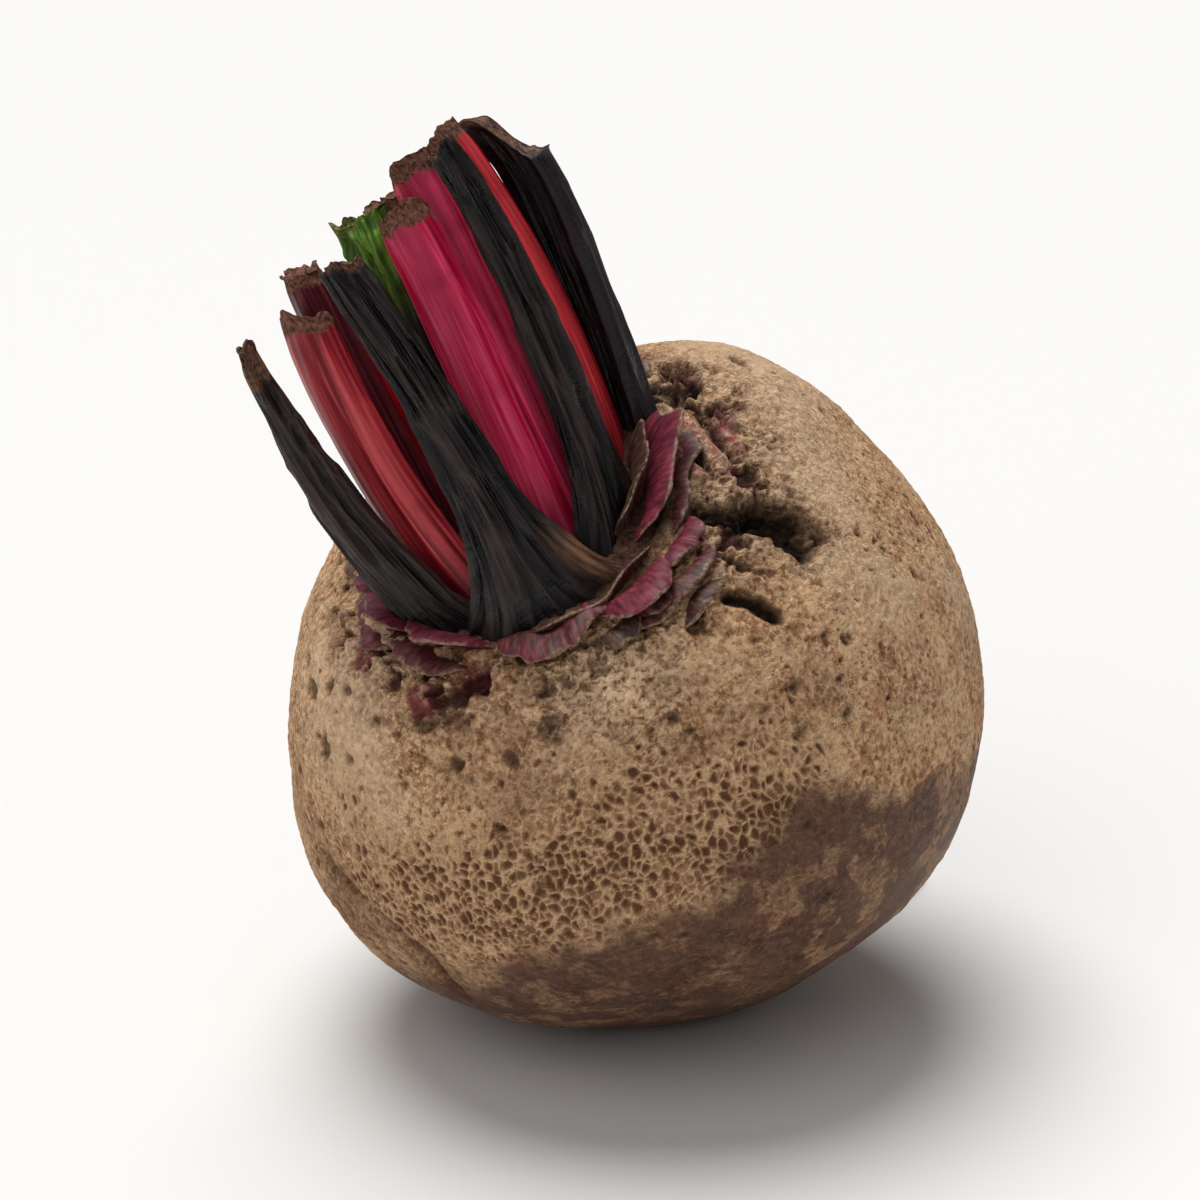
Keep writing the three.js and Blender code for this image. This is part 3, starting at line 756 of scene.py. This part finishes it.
def along_curve(shape, way):
    """Middle line and its three directions at each share of the length: points, side, back, upwards."""
    start = on_crown(*shape["foot"])
    tip = start + shape["reach"]
    middle = (start + tip) / 2 + 2 * np.array(shape["bow"])
    start = start - shape.get("sunk", FOOT_DEPTH) * (tip - start) / np.linalg.norm(tip - start)
    way = way[:, None]
    line = (1 - way) ** 2 * start + 2 * way * (1 - way) * middle + way**2 * tip
    line = line + ease(way, HOOK_FROM, 1.0) ** 2 * np.array(shape.get("hook", (0, 0, 0)))
    slope = np.gradient(line, axis=0)
    upwards = slope / np.linalg.norm(slope, axis=1, keepdims=True)
    turn = math.radians(shape["outward"])
    faces = np.array((math.cos(turn), math.sin(turn), 0))
    back = faces - (upwards @ faces)[:, None] * upwards
    back /= np.linalg.norm(back, axis=1, keepdims=True)
    side = np.cross(back, upwards)
    return line, side, back, upwards


# %% [markdown]
# ## The strip round it
# Rings of points are strung along the line, as a loft in CAD. Each ring is an oval with a groove on its
# inner side, bent round the crown at the foot. The ragged end is made by sliding the last few
# millimetres along the line by noise, and closing them with rings that shrink to the middle.

# %% Grow a leaf base
CAP_RINGS = 14
FAN_OUT = 0.4  # how far the surface pattern spreads with the flared foot
FLARE_LENGTH, CLASP_LENGTH = 0.13, 0.3  # shares of the length over which the foot narrows and straightens
TAPER_FROM = 0.35
RAGGED_MM, BEAK_MM, DROOP_MM = 5, 4, 13  # how far from the tip each of these starts


def tube_faces(rings, loop):
    """The faces of a tube of rings with loop points each, closed at both ends."""
    sides = [
        (a * loop + b, a * loop + (b + 1) % loop, (a + 1) * loop + (b + 1) % loop, (a + 1) * loop + b)
        for a in range(rings - 1)
        for b in range(loop)
    ]
    return sides + [tuple(reversed(range(loop))), tuple(range((rings - 1) * loop, rings * loop))]


def grow(shape, rings, facets, relief, rag, tip_back, seed):
    """A leaf base with relief(section, way) added to its surface, in millimetres. Its end is ragged by rag
    millimetres and cut sloping backwards by tip_back, so that the outer side stands highest."""
    way = np.linspace(0, 1, rings)
    line, side, back, upwards = along_curve(shape, way)
    length = np.linalg.norm(np.diff(line, axis=0), axis=1).sum()
    angle = np.arange(facets) * 2 * math.pi / facets
    taper = ease(way, TAPER_FROM, 1)
    width = shape["width"] + (shape["tip_width"] - shape["width"]) * taper
    width = width + (shape["foot_width"] - shape["width"]) * np.exp(-way / FLARE_LENGTH)
    radius = shape["clasp"] * np.exp(way / CLASP_LENGTH)
    # One row for each ring, then the rows of the closing cap at the last ring.
    shrink = np.concatenate([np.ones(rings), np.linspace(1, 0.03, CAP_RINGS + 1)[1:]])
    row = np.concatenate([np.arange(rings), np.full(CAP_RINGS, rings - 1)])
    w = way[row][:, None]
    flat = np.cos(angle)[None, :] * shrink[:, None]
    deep = np.sin(angle)[None, :] * shrink[:, None]
    across = flat * width[row][:, None] / 2
    groove = np.where(deep < 0, shape["channel"] * (1 - flat**2) * shrink[:, None], 0)
    off = deep * shape["thick"] / 2 + groove
    flare = np.maximum(width[row][:, None] / shape["width"] - 1, 0)
    fanned = across / (1 + (1 - FAN_OUT) * flare)
    section = np.stack([fanned, off, np.broadcast_to(w * length, across.shape)], axis=-1)
    flow = section.reshape(-1, 3)
    raised = relief(flow, np.broadcast_to(w, across.shape).ravel()).reshape(across.shape)
    upright_part = np.sin(angle) / shape["thick"] * np.ones_like(across)
    out = np.stack([np.cos(angle) / width[row][:, None], upright_part], -1)
    out /= np.linalg.norm(out, axis=-1, keepdims=True)
    on_side = (shrink[:, None] > 0.999) * np.ones_like(across)
    to_tip = (1 - w) * length
    near_end = ease(to_tip, RAGGED_MM, 0)
    chunks = swell(flow * (1, 1, 0.5), 1.5, seed + 6, 3).reshape(across.shape)
    raised = raised * (1 - 0.4 * near_end) + near_end * rag * (0.35 * chunks - 0.25)
    beak = shape.get("beak", 0) * ease(to_tip, BEAK_MM, 0.5) * ease(-flat, 0.1, 1)
    across = across + raised * out[..., 0] * on_side - beak
    off = off + raised * out[..., 1] * on_side
    r = radius[row][:, None]
    at = line[row][:, None, :] + side[row][:, None, :] * ((r + off) * np.sin(across / r))[..., None]
    at = at + back[row][:, None, :] * ((r + off) * np.cos(across / r) - r)[..., None]
    torn = swell(flow * (1, 1, 0), 2.0, seed + 5, 3).reshape(across.shape)
    climb = near_end * (rag * (1.1 * torn + 0.5 * chunks) + tip_back * off)
    climb = climb - shape.get("droop", 0) * ease(to_tip, DROOP_MM, 0) * ease(flat, -0.5, 1)
    climb = climb - rag * (1 - shrink[:, None]) * (0.9 + 0.8 * chunks)
    at = at + upwards[row][:, None, :] * climb[..., None]
    marks = {
        "way": np.broadcast_to(w, across.shape),
        "raised": raised,
        "cap": 1 - on_side,
        "to_end": to_tip + 0 * across,
        "rim": ease(-flat, 0.45, 0.95) * ease(w, 0.26, 0.12),
    }
    return at.reshape(-1, 3), tube_faces(len(row), facets), flow, marks


# %% [markdown]
# ## Fresh stalks
# A cut beet stalk is a bundle of water tubes under a thin waxy skin. The tubes show as fine ribs about a
# millimetre apart, and a few coarser ridges run up the back. Where it was cut it dries to a brown,
# crumbly plug.

# %% Fresh stalk surface
RIB_PITCH = 1.25
RIB_DEPTH = 0.27


def ribbed(seed):
    """Fine ribs round the stalk, fading in and out, on a few coarser ridges."""
    def relief(section, way):
        turn = np.arctan2(section[:, 1], section[:, 0])
        ribs = max(round(section[:, 0].max() * math.pi / RIB_PITCH), 6)
        drift = 0.9 * swell(section * (0.1, 0.1, 0.05), 1, seed)
        crest = 1 - 2 * np.abs(np.sin(turn * ribs / 2 + drift))
        fade = 0.35 + 0.65 * ease(swell(section * (1, 1, 0.03), 2.6, seed + 3), -0.3, 0.4)
        coarse = swell(section * (1, 1, 0.04), 2.6, seed + 1, 2)
        lumps = swell(section * (1, 1, 0.35), 5, seed + 2, 2)
        return RIB_DEPTH * (0.5 * crest * fade + 1.6 * coarse) + 0.22 * lumps
    return relief


def leaf_base(name, relief, rag, tip_back, seed, rings=180, facets=96):
    """Grows one leaf base, keeps what its material reads, and lets it stand for its CAD node."""
    rings, facets = ((rings, facets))
    points, faces, flow, marks = grow(LEAF_BASES[name], rings, facets, relief, rag, tip_back, seed)
    piece = new_piece(name + "_grown", tilted(points), faces)
    for mark, values in marks.items():
        keep(piece.data, mark, np.ravel(values))
    keep(piece.data, "strip", flow)
    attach(piece, "root")
    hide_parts(name)
    print(name, len(faces), "faces")
    return piece


# %% [markdown]
# ## Fresh stalk finish
# Betalain, the beet's dye, fills the skin: crimson in most stalks, magenta in some, duller and darker
# low down. Broad bands of a brighter, pinker colour are a painted highlight where the wax reflects, and
# the grooves between the ribs are painted in the deeper colour as painted shade. The skin is waxy, so it
# has a soft gloss. The cut end is dry brown pith.

# %% Fresh stalk material
def strip_clouds(tree, stretch, streaks, spots):
    """Noise on a leaf base's own strip: streaks are drawn out along it, spots are not."""
    strip = add(tree, "Attribute", attribute_name="strip").outputs["Vector"]
    drawn_out = add(tree, "VectorMath", operation="MULTIPLY", i0=strip, i1=(1, 1, stretch)).outputs[0]
    return clouds(tree, drawn_out, *streaks) + clouds(tree, strip, *spots)


def end_part(tree, blotch, waver_mm, from_mm, full_mm):
    """1 on the dried end and its cap; its border wavers by waver_mm."""
    edge = add(tree, "Math", operation="MULTIPLY_ADD", i0=blotch, i1=waver_mm, i2="to_end").outputs[0]
    dried = add(tree, "MapRange", i0=edge, i1=from_mm, i2=full_mm).outputs[0]
    return add(tree, "Math", operation="MAXIMUM", i0=dried, i1="cap").outputs[0]


def stalk_material(name, colours, gloss, plug=("#3E211B", "#8A5E4B"), dried_mm=2.6, low=(0.22, 0.65)):
    """low says how far up the foot's darker colour reaches, as a share of the length, and how strong it is;
    on the young leaves it is a painted shadow.
    """
    deep, main, bright, base = colours
    material, tree = new_material(name)
    streak, sheen_band, spots, blotch = strip_clouds(
        tree, 0.03, [(0.55, 3, 0.6, 0), (2.6, 2, 0.55, 0)], [(0.55, 3, 0.7, 0), (7, 3, 0.55, 0)])
    tone = add(tree, "ValToRGB", Fac=streak, stops=[(0.34, deep), (0.50, main), (0.68, bright)]).outputs[0]
    plug_part = end_part(tree, blotch, 9.0, dried_mm + 4.9, dried_mm + 4.1)
    for row in [
        # Painted highlight: broad bands of the bright colour where the wax reflects, the deep colour between
        # them.
        (bright, sheen_band, 0.50, 0.66, 0.7),
        (deep, sheen_band, 0.48, 0.34, 0.45),
        # Painted shade: the deep colour in the grooves between the ribs.
        (deep, "raised", 0.0, -0.25, 0.5),
        (deep, blotch, 0.52, 0.70, 0.35),
        (base, spots, 0.66, 0.76, 0.3),
        (base, "way", low[0], 0.0, low[1]),
        (layer(tree, *plug, spots, 0.36, 0.64), plug_part),
    ]:
        tone = layer(tree, tone, *row)
    rough = add(tree, "MapRange", i0=plug_part, i3=gloss, i4=0.88).outputs[0]
    finish_material(tree, tone, rough, [(streak, 0.8), (spots, 0.3)],
                    depth_mm=0.16, strength=0.55, ior=1.42, specular=0.3)
    return material


crimson_skin = stalk_material("crimson_stalk_skin", ("#7C0C18", "#C41C28", "#EA5158", "#500C14"), 0.32)
magenta_skin = stalk_material("magenta_stalk_skin", ("#86082A", "#CE1844", "#F25480", "#560A1E"), 0.30)
dull_red_skin = stalk_material("dull_red_stalk_skin", ("#5C0F18", "#A8222C", "#D2555A", "#4E121A"), 0.36)
maroon_skin = stalk_material("maroon_stalk_skin", ("#300A10", "#5A1822", "#7E3640", "#2A090E"), 0.42)

# %% Fresh stalks
FRESH_STALKS = {  # skin, how ragged the end is in millimetres, its slope, slot
    "red_stalk_left": (dull_red_skin, 1.0, 0.45, "fresh_stalk"),
    "red_stalk_front": (magenta_skin, 1.1, 0.4, "fresh_stalk"),
    "red_stalk_right": (crimson_skin, 1.0, 0.3, "fresh_stalk"),
    "red_stalk_middle": (magenta_skin, 1.1, 0.4, "fresh_stalk"),
    "maroon_stalk_left": (maroon_skin, 1.3, 0.1, "maroon_stalk"),
    "red_stalk_back_left": (crimson_skin, 1.0, 0.2, "fresh_stalk"),
    "red_stalk_back": (magenta_skin, 1.1, 0.2, "fresh_stalk"),
    "red_stalk_back_right": (crimson_skin, 1.0, 0.2, "fresh_stalk"),
    "young_stalk": (maroon_skin, 0.8, 0.1, "maroon_stalk"),
}
for number, (name, (skin, rag, tip_back, slot)) in enumerate(FRESH_STALKS.items()):
    seed = 100 + 10 * number
    piece = leaf_base(name, ribbed(seed), rag, tip_back, seed)
    piece.data.materials.append(skin)

# %% [markdown]
# ## Dried stalks
# The outer leaves died first. Their stalks lost their water and shrank round the fibres, so the surface
# is all deep lengthwise wrinkles, nearly black, with a patchy shine where dried sap glazes it.

# %% Dried stalk surface
def wrinkled(seed, depth, rolled):
    """Sharp lengthwise crests between rounded valleys; rolled adds a thick margin on one side."""
    def relief(section, way):
        wave = np.stack([swell(section * (1, 1, 0.2), 3, seed + 7 + k) for k in range(3)], axis=1)
        wavy = section + 0.35 * wave
        crests = 1 - 2.8 * np.abs(swell(wavy * (1, 1, 0.045), 1.0, seed))
        small = 1 - 2.8 * np.abs(swell(wavy * (1, 1, 0.06), 0.55, seed + 1))
        coarse = swell(wavy * (1, 1, 0.05), 2.6, seed + 2, 2)
        lumps = swell(section * (1, 1, 0.4), 3.5, seed + 4, 2)
        share = section[:, 0] / np.abs(section[:, 0]).max()
        margin = rolled * bell((share - 0.72) / 0.12)
        return depth * (0.62 * crests + 0.34 * small + 0.9 * coarse) + 0.2 * lumps + margin
    return relief


def dried_material(name, colours, shine, dried_mm, rim_part=0.0):
    """shine is the roughness where sap glazes it, rim_part how much of the foot's rim is tan."""
    dark, mid, light = colours
    material, tree = new_material(name)
    streak, sheen_band, spots, blotch = strip_clouds(
        tree, 0.05, [(0.5, 3, 0.62, 0), (2.8, 2, 0.55, 0)], [(0.6, 3, 0.7, 0), (6, 3, 0.55, 0)])
    tone = add(tree, "ValToRGB", Fac=streak, stops=[(0.38, dark), (0.56, mid), (0.74, light)]).outputs[0]
    plug_part = end_part(tree, blotch, 8.0, dried_mm + 4.6, dried_mm + 3.4)
    for row in [
        # Painted highlight on broad bands and wrinkle crests, painted shade in the wrinkle valleys.
        (light, sheen_band, 0.56, 0.70, 0.45),
        (light, "raised", 0.1, 0.5, 0.45),
        (dark, "raised", 0.05, -0.4, 0.8),
        (layer(tree, "#2E1A13", "#80573F", spots, 0.36, 0.64), plug_part, 0, 1, 0.9),
        (layer(tree, "#3A2219", "#93694C", streak, 0.38, 0.62), "rim", 0, 1, rim_part),
    ]:
        tone = layer(tree, tone, *row)
    rough = add(tree, "MapRange", i0=blotch, i1=0.46, i2=0.56, i3=0.55, i4=shine).outputs[0]
    finish_material(tree, tone, rough, [(streak, 0.9), (spots, 0.45)],
                    depth_mm=0.35, strength=1.0, ior=1.48, specular=0.34)
    return material


foot_skin = dried_material("black_dried_foot", ("#040303", "#120D0F", "#3E2E2C"), 0.16, 0.8, 0.9)
black_skin = dried_material("black_dried_stalk", ("#040303", "#120D0F", "#3E2E2C"), 0.18, 0.8)
brown_skin = dried_material("brown_dried_stalk", ("#080505", "#1A100E", "#453029"), 0.30, 5.5)
satin_skin = dried_material("satin_dried_stalk", ("#050304", "#110B0E", "#2A1E22"), 0.24, 0.6)

# %% Dried stalks
DRIED_STALKS = {  # skin, wrinkle depth and rolled margin in millimetres, raggedness of the end, its slope
    "dried_stalk_front": (foot_skin, 0.66, 0.0, 1.2, 0.3),
    "dried_stalk_left": (brown_skin, 0.5, 0.0, 1.5, 0.3),
    "dried_stalk_right": (black_skin, 0.62, 0.0, 1.2, 0.3),
    "dried_stalk_far_right": (satin_skin, 0.36, 1.5, 0.7, 0.0),
    "dried_stalk_back": (brown_skin, 0.5, 0.0, 1.3, 0.0),
}
for number, (name, (skin, depth, rolled, rag, tip_back)) in enumerate(DRIED_STALKS.items()):
    seed = 300 + 10 * number
    piece = leaf_base(name, wrinkled(seed, depth, rolled), rag, tip_back, seed, rings=230, facets=300)
    piece.data.materials.append(skin)

# %% [markdown]
# ## Young leaves
# In the middle of the crown the youngest leaves were cut through. Their stalks are thin, and the folded
# blade at the top shows as crumpled green with a paler rib. Lower down the blade is painted near-black
# red, a painted shadow between the stalks.

# %% Young leaves
def crumpled(seed):
    """Folds that grow deep towards the tip."""
    def relief(section, way):
        fold = swell(section * (1, 1, 0.3), 1.5, seed, 3)
        return (0.2 + 1.9 * ease(way, 0.6, 0.95)) * fold
    return relief


# Painted shadow: below the top of the leaf its green is covered by the near-black red foot colour.
leaf_green = stalk_material(
    "young_leaf_green", ("#223A08", "#4C7A18", "#9CC44C", "#1E0C0C"), 0.42,
    plug=("#33301A", "#8C8C4E"), dried_mm=0.6, low=(0.97, 3.2))
for number, name in enumerate(["young_leaf_front", "young_leaf_back"]):
    piece = leaf_base(name, crumpled(400 + number), 2.0, 0.2, 410 + number)
    piece.data.materials.append(leaf_green)

# %% [markdown]
# ## Old leaf scales
# Where a leaf dropped off, a crescent of its base stays on the crown, like the ring left by a torn-off
# ticket. It is fleshy and purple-red at the foot and dries to a thin, ragged, papery edge. Each is swept
# as a wedge along an arc round the crown; a CAD scale carries two or more of them, one behind the other.

# %% Scale shapes
# One row for a crescent: turns where it starts and ends, distance from the crown's middle, height,
# lean away from the crown in degrees, and how pink it is, from 0 (dry brown) to 1.
CRESCENTS = {
    "scale_right": [(-40, 26, 15.6, 7.0, 26, 0.0), (-38, 34, 17.6, 6.4, 44, 1.0),
                    (-30, 24, 21.0, 2.4, 62, 0.4)],
    "scale_front_right": [(-98, -36, 20.6, 2.4, 34, 0.15), (-68, -38, 22.4, 5.2, 64, 1.0),
                          (-44, -20, 23.4, 4.4, 66, 0.8), (-60, -44, 25.4, 2.6, 72, 0.3)],
    "scale_low_right": [(-64, -26, 26.6, 3.0, 64, 0.3), (-52, -34, 29.6, 1.8, 70, 0.2)],
    "scale_front": [(-106, -62, 21.9, 6.2, 68, 0.5), (-72, -58, 25.6, 4.4, 76, 0.1)],
    "scale_left_low": [(-146, -108, 22.0, 4.4, 40, 0.8), (-152, -116, 25.2, 3.2, 62, 0.5)],
    "scale_left": [(-178, -140, 22.6, 4.8, 38, 0.9), (-172, -146, 26.4, 3.2, 60, 0.6)],
    "scale_left_high": [(148, 184, 23.4, 4.0, 44, 0.7), (156, 180, 26.8, 2.4, 60, 0.3)],
    "scale_back_right": [(38, 86, 22.2, 4.8, 44, 0.7), (48, 78, 25.4, 2.8, 60, 0.4)],
    "scale_back_left": [(114, 160, 24.2, 4.6, 44, 0.7), (122, 150, 27.4, 2.6, 62, 0.3)],
}
WEDGE_FOOT, WEDGE_EDGE = 2.0, 0.24  # millimetres thick at the foot and at the edge
WEDGE_DEPTH = 2.2  # how far it is sunk into the crown


def crescent(start, end, far, tall, lean, seed, steps, rises):
    """Points, faces and marks of one crescent: a thin wedge swept round the crown, ragged on top."""
    share = np.linspace(-1, 1, steps)
    turn = np.radians(start + (end - start) * (share + 1) / 2)
    along = share * far * math.radians(abs(end - start)) / 2
    line = np.stack([along, np.zeros(steps), np.zeros(steps)], axis=1)
    far = far + 0.9 * swell(line, 7, seed, 2)
    spots = CROWN_CENTRE + far[:, None] * np.stack([np.cos(turn), np.sin(turn)], axis=1)
    feet = np.array([on_crown(*spot) for spot in spots])
    height = tall * (1 - np.abs(share) ** 2.4) ** 0.8
    ragged = 0.95 + 0.55 * swell(line, 4.5, seed + 1, 2) + 0.16 * swell(line, 1.1, seed + 4, 2)
    height = height * ragged
    outward = np.stack([np.cos(turn), np.sin(turn), np.zeros(steps)], axis=1)
    rise_share = np.linspace(0, 1, rises)
    level = np.concatenate([rise_share, rise_share[::-1]])
    face = np.concatenate([np.ones(rises), -np.ones(rises)])
    points, strips = [], []
    for v, side in zip(level, face):
        bend = np.radians(lean * (0.55 + 0.65 * v))
        leaning = outward * math.sin(bend) + np.array((0, 0, math.cos(bend)))
        across = outward * math.cos(bend) - np.array((0, 0, math.sin(bend)))
        climb = v * (height + WEDGE_DEPTH) - WEDGE_DEPTH
        thick = (WEDGE_FOOT * (1 - v) ** 0.8 + WEDGE_EDGE) / 2 * (0.35 + 0.65 * (1 - share**4))
        at = np.stack([along, side * thick, climb], axis=1)
        folds = 0.05 * swell(at * (1, 0.3, 0.25), 0.8, seed + 2, 2)
        folds = folds + 0.5 * swell(at * (1, 0, 0.5), 4, seed + 3)
        out = side * thick + folds * ease(v, 0, 0.4)
        points.append(feet + leaning * climb[:, None] + across * out[:, None])
        strips.append(at)
    points = np.stack(points, axis=1).reshape(-1, 3)
    to_edge = (1 - level)[None, :] * (height + 0.6)[:, None]
    flow = np.stack(strips, axis=1).reshape(-1, 3)
    return points, tube_faces(steps, len(level)), flow, to_edge.ravel()


# %% [markdown]
# ## Scale finish
# Drying leaf flesh: pink to purple-brown where it still holds sap, brown where it is dry, with streaks
# up the leaf and a tan, papery edge. Each crescent stores how pink it is, and noise blurs that.

# %% Scale material
scale_skin, tree = new_material("drying_scale_skin")
streak, spots, blotch = strip_clouds(tree, 0.25, [(0.6, 3, 0.6, 0)], [(0.5, 3, 0.7, 0), (3.2, 3, 0.55, 0)])
flesh = add(tree, "ValToRGB", Fac=streak, stops=[(0.34, "#481420"), (0.5, "#6A1E30"), (0.70, "#8C3644")])
dry = add(tree, "ValToRGB", Fac=streak, stops=[(0.32, "#22140F"), (0.5, "#4A3026"), (0.72, "#7A5A48")])
pink = add(tree, "Math", operation="MULTIPLY_ADD", i0=blotch, i1=1.6, i2="pink").outputs[0]
tone = layer(tree, dry.outputs[0], flesh.outputs[0], pink, 1.0, 1.6)
edge = add(tree, "Math", operation="MULTIPLY_ADD", i0=blotch, i1=2.4, i2="to_end").outputs[0]
edge_paper = layer(tree, "#4E3628", "#A08064", spots, 0.36, 0.6)
tone = layer(tree, tone, edge_paper, edge, 1.42, 1.22, 0.8)
finish_material(tree, tone, 0.55, [(streak, 0.8), (spots, 0.4)],
                depth_mm=0.12, strength=0.6, ior=1.44, specular=0.5)

# %% Scales
steps, rises = ((120, 18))
LAYER_SHIFT = 30  # keeps the noise of one crescent off the next
for number, (name, rows) in enumerate(CRESCENTS.items()):
    parts = []
    for place_in_row, (*shape, pinkness) in enumerate(rows):
        seed = 500 + 20 * number + 5 * place_in_row
        points, faces, flow, to_edge = crescent(*shape, seed, steps, rises)
        shifted = flow + (0, 0, LAYER_SHIFT * place_in_row)
        parts.append((points, faces, shifted, to_edge, np.full(len(points), pinkness)))
    points, faces, flow, to_edge, pinkness = zip(*parts)
    joined = [tuple(i + k * len(points[0]) for i in face) for k, own in enumerate(faces) for face in own]
    piece = new_piece(name + "_grown", tilted(np.concatenate(points)), joined)
    keep(piece.data, "to_end", np.concatenate(to_edge))
    keep(piece.data, "pink", np.concatenate(pinkness))
    keep(piece.data, "strip", np.concatenate(flow))
    piece.data.materials.append(scale_skin)
    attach(piece, "root")
    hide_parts(name)
print(len(CRESCENTS), "scales")

# %% [markdown]
# ## Floor and light
# A plain pale floor under soft studio light. The key is a large softbox above and behind, a little to
# the left, so the shadow falls forward; a weak fill from the front keeps the underside readable.

# %% Floor
FLOOR_SIZE = 12
bpy.ops.mesh.primitive_plane_add(size=FLOOR_SIZE)
floor = bpy.context.object
floor.name = "floor"
paper, tree = new_material("pale_floor")
fill(tree, tree.nodes["Principled BSDF"], Base_Color="#EEEDEB", Roughness=0.7)
floor.data.materials.append(paper)
print("floor", FLOOR_SIZE, "m wide")

# %% Light
KEY_FROM = Vector((-0.15, 0.26, 1.0))
FILL_FROM = Vector((-0.5, -0.9, 1.1))


def far_softbox(name, comes_from, strength, spread_degrees):
    """A lamp so far off that it lights the whole floor alike; its angle sets how soft the shadow is."""
    data = bpy.data.lights.new(name, "SUN")
    data.energy = strength
    data.angle = math.radians(spread_degrees)
    lamp = bpy.data.objects.new(name, data)
    lamp.rotation_euler = comes_from.to_track_quat("Z", "Y").to_euler()
    bpy.context.collection.objects.link(lamp)
    return lamp


far_softbox("key", KEY_FROM, 2.65, 40)
far_softbox("fill", FILL_FROM, 0.6, 50)
world = bpy.data.worlds.new("studio")
bpy.context.scene.world = world
world.use_nodes = True
fill(world.node_tree, world.node_tree.nodes["Background"], Color="#FDFDFC", Strength=0.21)
bpy.context.scene.view_settings.view_transform = "Standard"
print("key from", tuple(KEY_FROM), "fill from", tuple(FILL_FROM))
